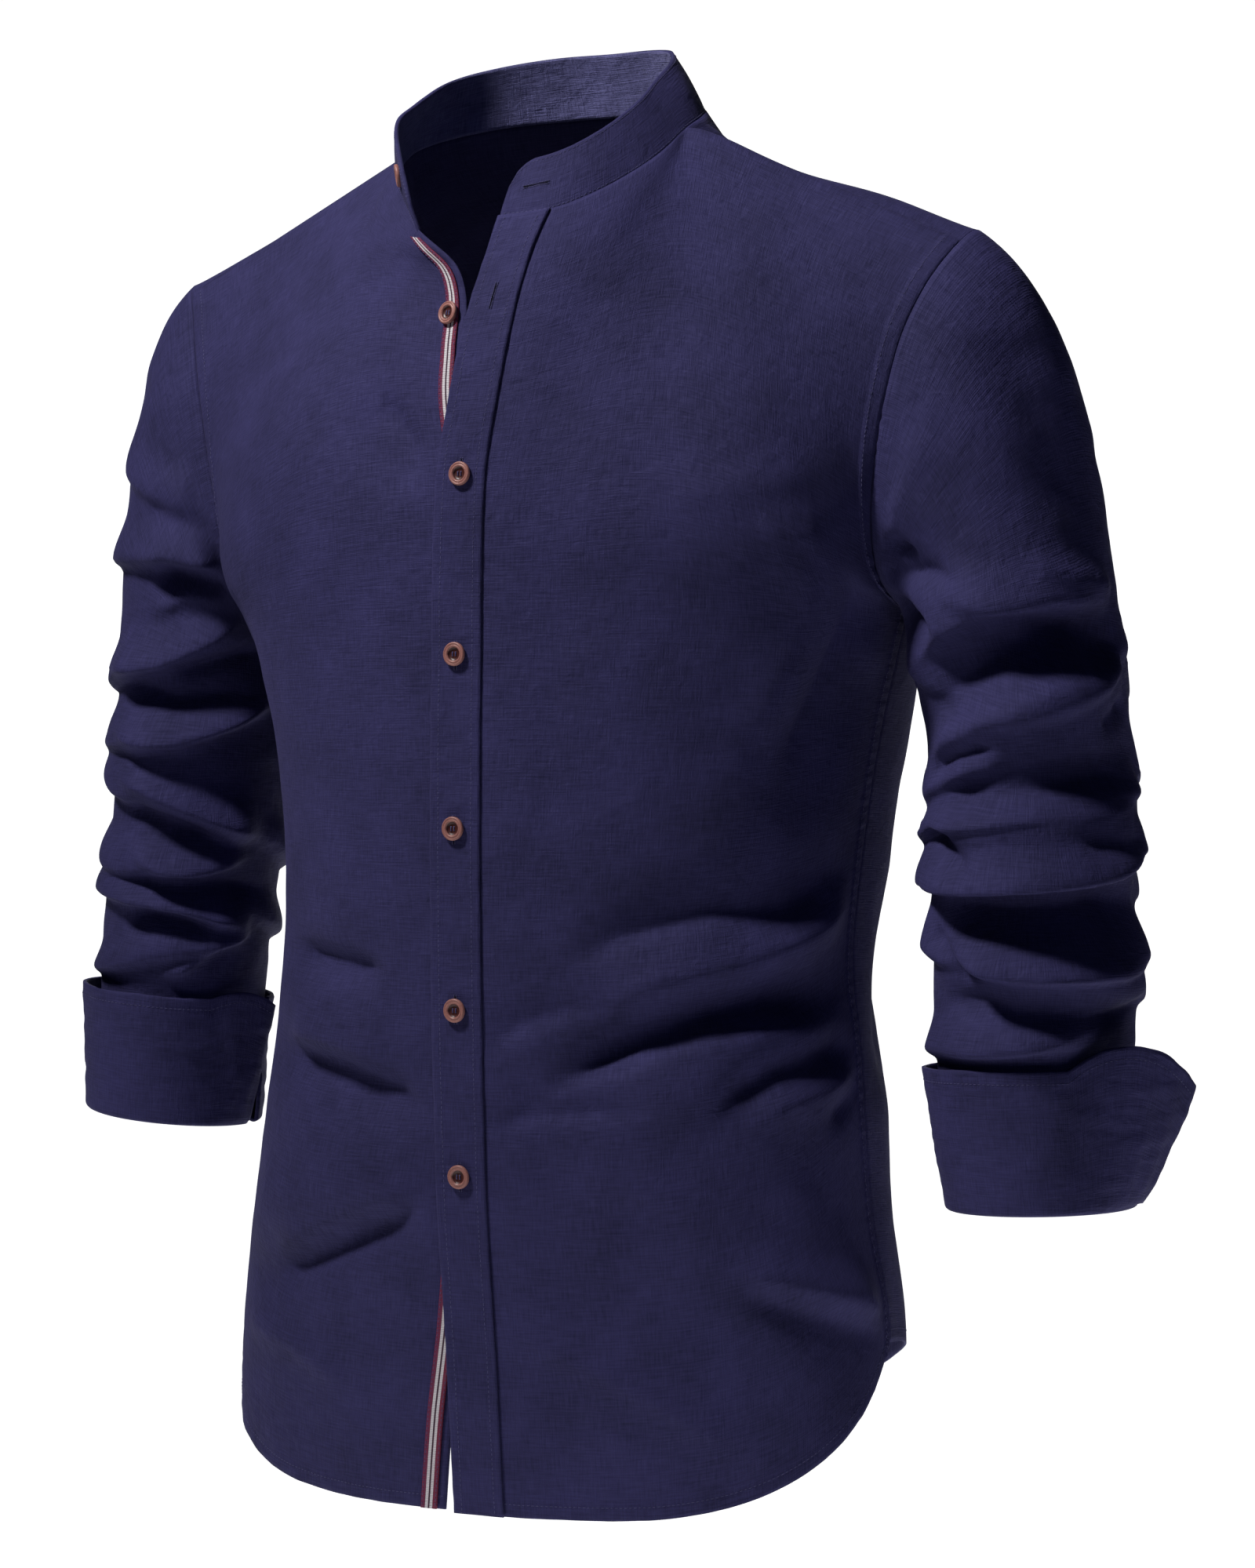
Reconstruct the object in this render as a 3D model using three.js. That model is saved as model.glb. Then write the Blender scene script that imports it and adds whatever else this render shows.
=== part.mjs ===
// A worn mandarin collar shirt, in millimetres, +Z up, the wearer facing -Y with their left arm at +X.
// The origin is the middle of the neck base, level with the points where the shoulders meet the neck.
import * as THREE from 'three';

// Driving sizes
const WALL = 1.5;
const CORNER_WALL = 1;
const SEAM_GAP = 0.3;
const PLACKET_WIDTH = 30;
const PLACKET_WALL = 1.2;
const TAPE_WALL = 1.0;
const TAPE_FROM_EDGE = 5;
const TAPE_WIDTH = 10;
const COLLAR_WALL = 2.2;
const COLLAR_CORNER = 15;
const CUFF_WALL = 2.2;
const BUTTON_RADIUS = 6.35;
const BUTTON_HEIGHTS = [-198, -293, -385, -481, -569];
const OPEN_BUTTON_HEIGHT = -110;
const ARMPIT_HEIGHT = -265;
const BICEPS_HEIGHT = -285;
const FRONT_HEM = -750;
const SIDE_HEM = -660;
const BACK_HEM = -744;
const LEFT_HEM_SHARPNESS = 3.9;
const RIGHT_HEM_SHARPNESS = 4;
const RIGHT_SHOULDER_SPREAD = 7;
// How far each shoulder stands above a straight line: its front seam, and the yoke behind that
const LEFT_SHOULDER = { seamRise: 2, yokeRise: 9 };
const RIGHT_SHOULDER = { seamRise: 0, yokeRise: 3 };
// The turns from the armpit over which the walls at the armhole seam go over to a shared cut
const ARMPIT_OWN_TURN = 0.08;
const ARMPIT_SHARED_TURN = 0.18;
const BODY_SQUARENESS = 2.3;
const SIDE_ROUND = 260;

// How far the left front stands off the right one where they lap, and where that step has faded out
const LAP_STEP = 2 * SEAM_GAP + TAPE_WALL + WALL;
const LAP_FLAT = 34;
const LAP_FADED = 75;

// Level sections of the body: the middle along X, half width, and how far the front, side line and back
// lie along Y
const BODY = [
  { height: -760, middle: -3, half: 201, front: -94, side: 9, back: 120 },
  { height: -657, middle: -3, half: 195, front: -103, side: 11, back: 127 },
  { height: -588, middle: -3, half: 184.5, front: -109, side: 12, back: 135 },
  { height: -518, middle: -1, half: 176, front: -112, side: 15, back: 147 },
  { height: -455, middle: 0, half: 168, front: -114, side: 18, back: 156 },
  { height: -396, middle: 0, half: 170, front: -115, side: 27, back: 172 },
  { height: -344, middle: 0, half: 177, front: -115, side: 30, back: 180 },
  { height: -265, middle: 0, half: 199, front: -114, side: 22, back: 170 },
];

// The left front's centre edge above the armpit level
const LEFT_EDGE = [
  { height: -265, x: -14, y: -114 },
  { height: -231, x: -13, y: -114.5 },
  { height: -190, x: -11, y: -113 },
  { height: -165, x: -7.5, y: -110.5 },
  { height: -130, x: -3, y: -105 },
  { height: -97, x: 2, y: -97 },
  { height: -58, x: 9, y: -87 },
];
// The same for the right front, whose edge is turned back towards the wearer's right at the top
const RIGHT_EDGE = [
  { height: -265, x: 13, y: -114 },
  { height: -200, x: 7, y: -111 },
  { height: -156, x: -3, y: -106 },
  { height: -131, x: -5, y: -101.5 },
  { height: -99, x: -8, y: -94 },
  { height: -84, x: -15, y: -92 },
  { height: -72, x: -29, y: -90 },
  { height: -61, x: -46, y: -80 },
];
// Where each front's edge lies below the armpit level, from the section's middle to the wearer's left
const LEFT_EDGE_BELOW = [
  { height: -760, x: -8.5 },
  { height: -640, x: -9.5 },
  { height: -580, x: -11 },
  { height: -500, x: -14 },
  { height: -265, x: -14 },
];
const RIGHT_EDGE_BELOW = [
  { height: -760, x: -18 },
  { height: -700, x: -10 },
  { height: -650, x: -1 },
  { height: -600, x: 6 },
  { height: -540, x: 12 },
  { height: -265, x: 13 },
];

// The armhole seam of the wearer's left side, by its turn from the armpit over the front, and the
// direction in which the sleeve's cloth leaves it
const ARMHOLE = [
  { turn: 0, x: 199, y: 22, z: -265, outX: 0.8, outY: 0, outZ: -0.6 },
  { turn: 0.06, x: 199, y: -3, z: -261, outX: 0.75, outY: -0.1, outZ: -0.65 },
  { turn: 0.12, x: 200, y: -23, z: -247, outX: 0.75, outY: -0.15, outZ: -0.6 },
  { turn: 0.18, x: 202, y: -33, z: -222, outX: 0.87, outY: -0.05, outZ: -0.45 },
  { turn: 0.25, x: 206, y: -36, z: -188, outX: 0.95, outY: -0.02, outZ: -0.3 },
  { turn: 0.32, x: 212, y: -33, z: -152, outX: 0.94, outY: -0.06, outZ: -0.3 },
  { turn: 0.38, x: 219, y: -27, z: -122, outX: 0.9, outY: -0.12, outZ: -0.36 },
  { turn: 0.44, x: 230, y: -14, z: -93, outX: 0.86, outY: -0.06, outZ: -0.5 },
  { turn: 0.5, x: 243, y: 6, z: -70, outX: 0.82, outY: 0.02, outZ: -0.57 },
  { turn: 0.56, x: 241, y: 32, z: -74, outX: 0.83, outY: 0.1, outZ: -0.55 },
  { turn: 0.64, x: 231, y: 61, z: -100, outX: 0.87, outY: 0.2, outZ: -0.43 },
  { turn: 0.72, x: 216, y: 82, z: -143, outX: 0.9, outY: 0.25, outZ: -0.37 },
  { turn: 0.8, x: 206, y: 88, z: -190, outX: 0.87, outY: 0.25, outZ: -0.45 },
  { turn: 0.88, x: 201, y: 78, z: -232, outX: 0.75, outY: 0.2, outZ: -0.6 },
  { turn: 0.94, x: 199, y: 53, z: -256, outX: 0.75, outY: 0.1, outZ: -0.65 },
];
const FRONT_YOKE_TURN = 0.478;
const BACK_YOKE_TURN = 0.64;

// Half of the yoke's back seam, from the centre back to the armhole
const YOKE_SEAM = [
  { part: 0, x: 0, y: 155, z: -86 },
  { part: 0.35, x: 82, y: 147, z: -88 },
  { part: 0.7, x: 168, y: 110, z: -95 },
  { part: 1, x: 231, y: 61, z: -100 },
];

// Level sections of each arm: its middle along X and Y, and its half width and half depth
const LEFT_ARM = [
  { height: -285, x: 255, y: 36, wide: 55, deep: 66 },
  { height: -345, x: 264, y: 34, wide: 52, deep: 63 },
  { height: -420, x: 269, y: 28, wide: 52, deep: 61 },
  { height: -500, x: 270, y: 27, wide: 51, deep: 59 },
  { height: -530, x: 270, y: 27, wide: 48, deep: 55 },
  { height: -590, x: 267, y: 26, wide: 40, deep: 46 },
];
const RIGHT_ARM = [
  { height: -285, x: 252, y: 34, wide: 54, deep: 65 },
  { height: -345, x: 257, y: 32, wide: 49, deep: 62 },
  { height: -420, x: 266, y: 28, wide: 46.5, deep: 57 },
  { height: -475, x: 271, y: 27, wide: 46, deep: 54 },
  { height: -510, x: 273, y: 27, wide: 44, deep: 52 },
  { height: -570, x: 276, y: 26, wide: 40, deep: 46 },
];

// Folds pushed up on each sleeve: the height of the ridge at the inner side, front and outer side,
// how far it stands out, how tall it is, and the turns between which it shows
const LEFT_SLEEVE_FOLDS = [
  { inner: -250, front: -262, outer: -278, out: 8, tall: 19, from: 0.2, to: 0.5 },
  { inner: -283, front: -321, outer: -303, out: 6, tall: 20, from: 0.05, to: 0.62 },
  { inner: -368, front: -352, outer: -338, out: 7, tall: 15, from: 0.02, to: 0.3 },
  { inner: -386, front: -374, outer: -364, out: 8, tall: 15, from: 0, to: 0.6 },
  { inner: -406, front: -411, outer: -398, out: 9, tall: 17, from: 0, to: 0.6 },
  { inner: -437, front: -453, outer: -450, out: 10, tall: 19, from: 0, to: 0.62 },
  { inner: -503, front: -494, outer: -474, out: 8, tall: 18, from: 0, to: 0.6 },
  { inner: -300, front: -318, outer: -300, out: 7, tall: 22, from: 0.55, to: 1.02 },
  { inner: -352, front: -366, outer: -346, out: 8, tall: 20, from: 0.52, to: 1.05 },
  { inner: -404, front: -412, outer: -420, out: 8, tall: 19, from: 0.55, to: 1.05 },
  { inner: -452, front: -466, outer: -470, out: 8, tall: 18, from: 0.52, to: 1.05 },
];
const RIGHT_SLEEVE_FOLDS = [
  { inner: -218, front: -200, outer: -166, out: 6, tall: 17, from: 0.12, to: 0.5 },
  { inner: -236, front: -229, outer: -224, out: 9, tall: 19, from: 0.1, to: 0.6 },
  { inner: -272, front: -288, outer: -300, out: 8, tall: 19, from: 0.05, to: 0.6 },
  { inner: -312, front: -333, outer: -327, out: 9, tall: 18, from: 0, to: 0.6 },
  { inner: -388, front: -370, outer: -342, out: 9, tall: 18, from: 0, to: 0.6 },
  { inner: -398, front: -408, outer: -390, out: 8, tall: 15, from: 0.03, to: 0.58 },
  { inner: -438, front: -425, outer: -416, out: 8, tall: 15, from: 0, to: 0.6 },
  { inner: -446, front: -461, outer: -476, out: 8, tall: 16, from: 0, to: 0.55 },
  { inner: -304, front: -312, outer: -296, out: 7, tall: 22, from: 0.55, to: 1.02 },
  { inner: -350, front: -360, outer: -348, out: 8, tall: 20, from: 0.52, to: 1.05 },
  { inner: -396, front: -408, outer: -402, out: 8, tall: 19, from: 0.55, to: 1.05 },
  { inner: -440, front: -450, outer: -446, out: 7, tall: 16, from: 0.52, to: 1.05 },
];

// Soft folds of the body: each runs between two places, given as the distance round from the centre
// front towards the wearer's left and the height, and stands out, or in where it is negative
const BODY_FOLDS = [
  { round0: 244, height0: -452, round1: 110, height1: -517, out: -6, wide: 26 },
  { round0: 250, height0: -486, round1: 96, height1: -546, out: 5, wide: 28 },
  { round0: 232, height0: -300, round1: 190, height1: -380, out: -5, wide: 30 },
  { round0: -150, height0: -455, round1: -62, height1: -462, out: -4, wide: 24 },
  { round0: -178, height0: -500, round1: -30, height1: -540, out: -4, wide: 24 },
  { round0: -190, height0: -642, round1: -40, height1: -590, out: -4, wide: 26 },
  { round0: -180, height0: -610, round1: -50, height1: -560, out: 4, wide: 30 },
  { round0: 262, height0: -640, round1: 120, height1: -615, out: 4, wide: 30 },
  { round0: -60, height0: -160, round1: -26, height1: -200, out: -3, wide: 24 },
  { round0: 360, height0: -420, round1: 300, height1: -520, out: -6, wide: 30 },
  { round0: 470, height0: -400, round1: 380, height1: -470, out: -6, wide: 32 },
  { round0: -470, height0: -400, round1: -380, height1: -470, out: -6, wide: 32 },
  { round0: -300, height0: -430, round1: -360, height1: -520, out: -6, wide: 30 },
];

// The band collar: its bottom and top edges from the wearer's left end, round the back, to the right end
const COLLAR = [
  { part: 0, x: 9, y: -87, z: -58, topX: 14, topY: -75, topZ: -28 },
  { part: 0.07, x: 37, y: -84, z: -56, topX: 36, topY: -70, topZ: -23 },
  { part: 0.15, x: 61, y: -67, z: -44, topX: 54, topY: -54, topZ: -10 },
  { part: 0.23, x: 78, y: -40, z: -25, topX: 63, topY: -30, topZ: 8 },
  { part: 0.3, x: 82.5, y: -12, z: -6, topX: 61, topY: -5, topZ: 24 },
  { part: 0.36, x: 79.5, y: 14, z: 5, topX: 58, topY: 18, topZ: 37 },
  { part: 0.44, x: 62.5, y: 48, z: 15, topX: 45, topY: 44, topZ: 48 },
  { part: 0.51, x: 32, y: 69, z: 20, topX: 23, topY: 60, topZ: 53 },
  { part: 0.57, x: 0, y: 75.5, z: 21, topX: -5, topY: 65, topZ: 54 },
  { part: 0.63, x: -35, y: 69, z: 20, topX: -37, topY: 60, topZ: 53.5 },
  { part: 0.7, x: -69, y: 48, z: 15, topX: -66, topY: 44, topZ: 48 },
  { part: 0.78, x: -90, y: 14, z: 4, topX: -84, topY: 17, topZ: 37 },
  { part: 0.85, x: -92, y: -14, z: -7, topX: -88, topY: -12, topZ: 21 },
  { part: 0.93, x: -82, y: -42, z: -26, topX: -82.5, topY: -44, topZ: 3 },
  { part: 1, x: -46, y: -80, z: -61, topX: -54, topY: -84, topZ: -30 },
];

// Each turned-back cuff, by its turn round the arm: the first end lies under the second, which stands
// away from the arm at the top
const LEFT_CUFF = {
  x: 268, y: 27, topHeight: -510, foldHeight: -585, tilt: 0.02, foldTilt: 0.02, foldShift: 6,
  topWide: 57, topDeep: 63, foldWide: 50, foldDeep: 56,
  fromTurn: 0.58, toTurn: 1.54, wing: 35, wingTurn: 0.17, wingLift: 16,
};
const RIGHT_CUFF = {
  x: 275.5, y: 27, topHeight: -482, foldHeight: -556, tilt: 0.1, foldTilt: 0.12, foldShift: 3,
  topWide: 54, topDeep: 60, foldWide: 50, foldDeep: 56,
  fromTurn: 0.95, toTurn: -0.01, wing: 15, wingTurn: 0.1, wingLift: 6,
};
const LEFT_NECK_PART = 0.3;
const RIGHT_NECK_PART = 0.85;
const COLLAR_LENGTH = 430;
const NECK_GAP = 0.35;

// How finely the cloth is divided; cloth that meets at a seam is divided alike along it
const SHOULDER_COLUMNS = 5;
const NECK_COLUMNS = 3;
const BODY_ROWS = 19;
const FRONT_ARMHOLE_ROWS = 9;
const YOKE_ROWS = 4;
const BACK_ARMHOLE_ROWS = 7;
const YOKE_NECK_COLUMNS = 12;
const CAP_ROWS = 9;
const ARM_ROWS = 24;
const CUFF_COLUMNS = 28;
const BUTTON_SEGMENTS = 16;

const point = (x, y, z) => new THREE.Vector3(x, y, z);
const mix = THREE.MathUtils.lerp;
const smooth = (value) => THREE.MathUtils.smoothstep(value, 0, 1);
const blend = (a, b, share) => new THREE.Vector3().lerpVectors(a, b, share);
const steps = (count) => Array.from({ length: count + 1 }, (_, step) => step / count);

// A table's value in one column, on a smooth curve through its rows
function read(table, key, at, column) {
  const forward = Math.sign(table[1][key] - table[0][key]);
  const last = table.length - 1;
  let row = 0;
  while (row < last - 1 && forward * (at - table[row + 1][key]) > 0) row += 1;
  const rise = (k) => (table[k + 1][column] - table[k][column]) / (table[k + 1][key] - table[k][key]);
  const slope = (k) => {
    if (k === 0) return rise(0);
    if (k === last) return rise(last - 1);
    return (rise(k - 1) + rise(k)) / 2;
  };
  const span = table[row + 1][key] - table[row][key];
  const t = (at - table[row][key]) / span;
  const t2 = t * t;
  const t3 = t2 * t;
  return (2 * t3 - 3 * t2 + 1) * table[row][column] + (t3 - 2 * t2 + t) * span * slope(row)
    + (3 * t2 - 2 * t3) * table[row + 1][column] + (t3 - t2) * span * slope(row + 1);
}

// A table of a closed loop, with its ends repeated one turn on so that it reads smoothly past them
function loopTable(rows) {
  const moved = (row, turns) => ({ ...row, turn: row.turn + turns });
  return [...rows.slice(-2).map((row) => moved(row, -1)), ...rows, ...rows.slice(0, 2).map((row) => moved(row, 1))];
}

// A smooth path between two points that leaves and arrives along the given vectors
function hermite(from, leave, to, arrive, t) {
  const t2 = t * t;
  const t3 = t2 * t;
  return point(0, 0, 0)
    .addScaledVector(from, 2 * t3 - 3 * t2 + 1)
    .addScaledVector(leave, t3 - 2 * t2 + t)
    .addScaledVector(to, 3 * t2 - 2 * t3)
    .addScaledVector(arrive, t3 - t2);
}

// The normal at each point of a grid of cloth, turned away from what the cloth wraps
function gridNormals(grid, closed, inside) {
  const columns = grid.length;
  const normals = grid.map((column, i) => column.map((_, j) => {
    const before = closed ? (i + columns - 1) % columns : Math.max(i - 1, 0);
    const after = closed ? (i + 1) % columns : Math.min(i + 1, columns - 1);
    const below = Math.max(j - 1, 0);
    const above = Math.min(j + 1, column.length - 1);
    const across = grid[after][j].clone().sub(grid[before][j]);
    const along = column[above].clone().sub(column[below]);
    return across.cross(along).normalize();
  }));
  let agreement = 0;
  grid.forEach((column, i) => column.forEach((p, j) => {
    agreement += normals[i][j].dot(p.clone().sub(inside(p)));
  }));
  if (agreement < 0) normals.forEach((column) => column.forEach((n) => n.negate()));
  return normals;
}

// A closed wall of cloth between an outer grid and the same grid moved in along its normals
function wallGeometry(outer, normals, wall, closed) {
  const columns = outer.length;
  const rows = outer[0].length;
  const inner = outer.map((column, i) => column.map((p, j) => p.clone().addScaledVector(normals[i][j], -wall)));
  const positions = [outer, inner].flatMap((grid) => grid.flatMap((column) => column.flatMap((p) => p.toArray())));
  const at = (i, j) => (i % columns) * rows + j;
  const under = (i, j) => columns * rows + at(i, j);
  const index = [];
  const quad = (a, b, c, d) => index.push(a, b, c, a, c, d);
  const cells = closed ? columns : columns - 1;
  for (let i = 0; i < cells; i += 1) {
    for (let j = 0; j < rows - 1; j += 1) {
      quad(at(i, j), at(i + 1, j), at(i + 1, j + 1), at(i, j + 1));
      quad(under(i, j), under(i, j + 1), under(i + 1, j + 1), under(i + 1, j));
    }
    quad(at(i + 1, 0), at(i, 0), under(i, 0), under(i + 1, 0));
    quad(at(i, rows - 1), at(i + 1, rows - 1), under(i + 1, rows - 1), under(i, rows - 1));
  }
  if (!closed) {
    for (let j = 0; j < rows - 1; j += 1) {
      quad(at(0, j), at(0, j + 1), under(0, j + 1), under(0, j));
      quad(at(cells, j + 1), at(cells, j), under(cells, j), under(cells, j + 1));
    }
  }
  const first = outer[1][0].clone().sub(outer[0][0]).cross(outer[0][1].clone().sub(outer[0][0]));
  if (first.dot(normals[0][0]) < 0) index.reverse();
  const geometry = new THREE.BufferGeometry();
  geometry.setAttribute('position', new THREE.Float32BufferAttribute(positions, 3));
  geometry.setIndex(index);
  return geometry;
}

const SHIRT = new THREE.Group();
const NAVY = { color: '#2c2a4e', roughness: 0.85, metalness: 0 };

function addPiece(name, geometry, finish) {
  const mesh = new THREE.Mesh(geometry, new THREE.MeshStandardMaterial(finish));
  mesh.name = name;
  SHIRT.add(mesh);
}

// A quarter of a level section of the body, as points at even angles with the length run to each
const SECTION_STEPS = 64;
const sections = new Map();
function quarterSection(height, back) {
  const key = `${height.toFixed(4)} ${back}`;
  if (sections.has(key)) return sections.get(key);
  const half = read(BODY, 'height', height, 'half');
  const side = read(BODY, 'height', height, 'side');
  const end = read(BODY, 'height', height, back ? 'back' : 'front');
  const power = 2 / BODY_SQUARENESS;
  const points = steps(SECTION_STEPS).map((share) => {
    const angle = share * Math.PI / 2;
    return point(half * Math.sin(angle) ** power, side + (end - side) * Math.cos(angle) ** power, height);
  });
  const runs = [0];
  for (let k = 1; k < points.length; k += 1) runs.push(runs[k - 1] + points[k].distanceTo(points[k - 1]));
  const section = { points, runs, length: runs[runs.length - 1] };
  sections.set(key, section);
  return section;
}

// A place on the body below the armpit level: its share of the way from the centre line to the side
function bodyPoint(share, height, back, hand) {
  const section = quarterSection(height, back);
  const run = Math.min(Math.abs(share), 1) * section.length;
  let k = 1;
  while (k < section.runs.length - 1 && section.runs[k] < run) k += 1;
  const within = (run - section.runs[k - 1]) / (section.runs[k] - section.runs[k - 1]);
  const p = blend(section.points[k - 1], section.points[k], within);
  p.x = read(BODY, 'height', height, 'middle') + p.x * hand * Math.sign(share || 1);
  return p;
}

function bodyNormal(share, height, back, hand) {
  const step = 0.01;
  const near = Math.min(share, 1 - step);
  const across = bodyPoint(near + step, height, back, hand).sub(bodyPoint(near - step, height, back, hand));
  if (share > 1 - step) across.set(0, 1, 0);
  const along = bodyPoint(share, height + 2, back, hand).sub(bodyPoint(share, height - 2, back, hand));
  const normal = across.cross(along).normalize();
  const p = bodyPoint(share, height, back, hand);
  return normal.dot(point(p.x, p.y - 20, 0)) < 0 ? normal.negate() : normal;
}

// The direction in which the body's cloth rises through the armpit level
function bodyRise(share, back, hand) {
  const below = bodyPoint(share, ARMPIT_HEIGHT - 6, back, hand);
  return bodyPoint(share, ARMPIT_HEIGHT, back, hand).sub(below).normalize();
}

// How far the body's folds move its cloth at a place
function bodyFold(round, height) {
  return BODY_FOLDS.reduce((sum, fold) => {
    const runRound = fold.round1 - fold.round0;
    const runHeight = fold.height1 - fold.height0;
    const length = Math.hypot(runRound, runHeight);
    const along = ((round - fold.round0) * runRound + (height - fold.height0) * runHeight) / (length * length);
    const aside = ((round - fold.round0) * runHeight - (height - fold.height0) * runRound) / length;
    const fade = smooth((along + 0.15) / 0.4) * smooth((1.15 - along) / 0.4);
    return sum + fold.out * fade * Math.exp(-2 * (aside / fold.wide) ** 2);
  }, 0);
}

// Hem height at a share of the way from the centre line to the side
function frontHem(share, hand) {
  const sharpness = hand * share > 0 ? LEFT_HEM_SHARPNESS : RIGHT_HEM_SHARPNESS;
  return FRONT_HEM + (SIDE_HEM - FRONT_HEM) * Math.abs(share) ** sharpness;
}
const backHem = (share) => SIDE_HEM + (BACK_HEM - SIDE_HEM) * (1 + Math.cos(Math.PI * share)) / 2;

const armhole = loopTable(ARMHOLE);
function armholePoint(turn, hand) {
  const z = read(armhole, 'turn', turn, 'z');
  const spread = hand < 0 ? RIGHT_SHOULDER_SPREAD * smooth((z - ARMPIT_HEIGHT) / 150) : 0;
  return point(hand * (read(armhole, 'turn', turn, 'x') + spread), read(armhole, 'turn', turn, 'y'), z);
}
const armholeOut = (turn, hand) => point(
  hand * read(armhole, 'turn', turn, 'outX'),
  read(armhole, 'turn', turn, 'outY'),
  read(armhole, 'turn', turn, 'outZ'),
).normalize();

// The direction in which both walls that meet at the armhole seam are cut
function armholeNormal(turn, hand) {
  const along = armholePoint(turn + 0.005, hand).sub(armholePoint(turn - 0.005, hand));
  const normal = along.cross(armholeOut(turn, hand)).normalize();
  const fromArm = armholePoint(turn, hand).sub(point(hand * 215, 27, -170));
  return normal.dot(fromArm) < 0 ? normal.negate() : normal;
}

// Near the armpit the two walls lie face to face and keep their own normals; elsewhere they share one
function seamedNormal(own, turn, hand) {
  const fromArmpit = Math.min(turn, 1 - turn);
  const shared = smooth((fromArmpit - ARMPIT_OWN_TURN) / (ARMPIT_SHARED_TURN - ARMPIT_OWN_TURN));
  return own.clone().lerp(armholeNormal(turn, hand), shared).normalize();
}

const neckPoint = (part) => point(
  read(COLLAR, 'part', part, 'x'),
  read(COLLAR, 'part', part, 'y'),
  read(COLLAR, 'part', part, 'z') - NECK_GAP,
);

// The direction in which the fronts' cloth leaves the neck seam, and its normal there
const neckDown = (hand) => point(hand * 0.35, -0.5, -0.8);
function neckNormal(part, hand) {
  const along = neckPoint(part + 0.005).sub(neckPoint(part - 0.005));
  const normal = along.cross(neckDown(hand)).normalize();
  return normal.z < 0 ? normal.negate() : normal;
}

// The shoulder seam, a little in front of the shoulder's ridge, from the neck to the armhole
const SHOULDER_OVER = point(0, 0.62, 0.78);
const shoulderRise = (hand) => (hand > 0 ? LEFT_SHOULDER : RIGHT_SHOULDER);
function shoulderPoint(share, hand) {
  const neck = neckPoint(hand > 0 ? LEFT_NECK_PART : RIGHT_NECK_PART);
  const p = blend(neck, armholePoint(FRONT_YOKE_TURN, hand), share);
  p.z += shoulderRise(hand).seamRise * Math.sin(Math.PI * share);
  return p;
}
function shoulderNormal(hand) {
  const along = shoulderPoint(1, hand).sub(shoulderPoint(0, hand));
  const normal = along.cross(SHOULDER_OVER).normalize();
  return normal.z < 0 ? normal.negate() : normal;
}

// How quickly the pull of a front's centre edge fades across it, low down and at the neck, and how late
// it turns from one to the other; and how far past the neck the cloth still leans towards it
const EDGE_FADE_LOW = 1.5;
const EDGE_FADE_TOP = 30;
const EDGE_FADE_TURN = 7;
const NECK_REACH = 0.35;

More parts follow.
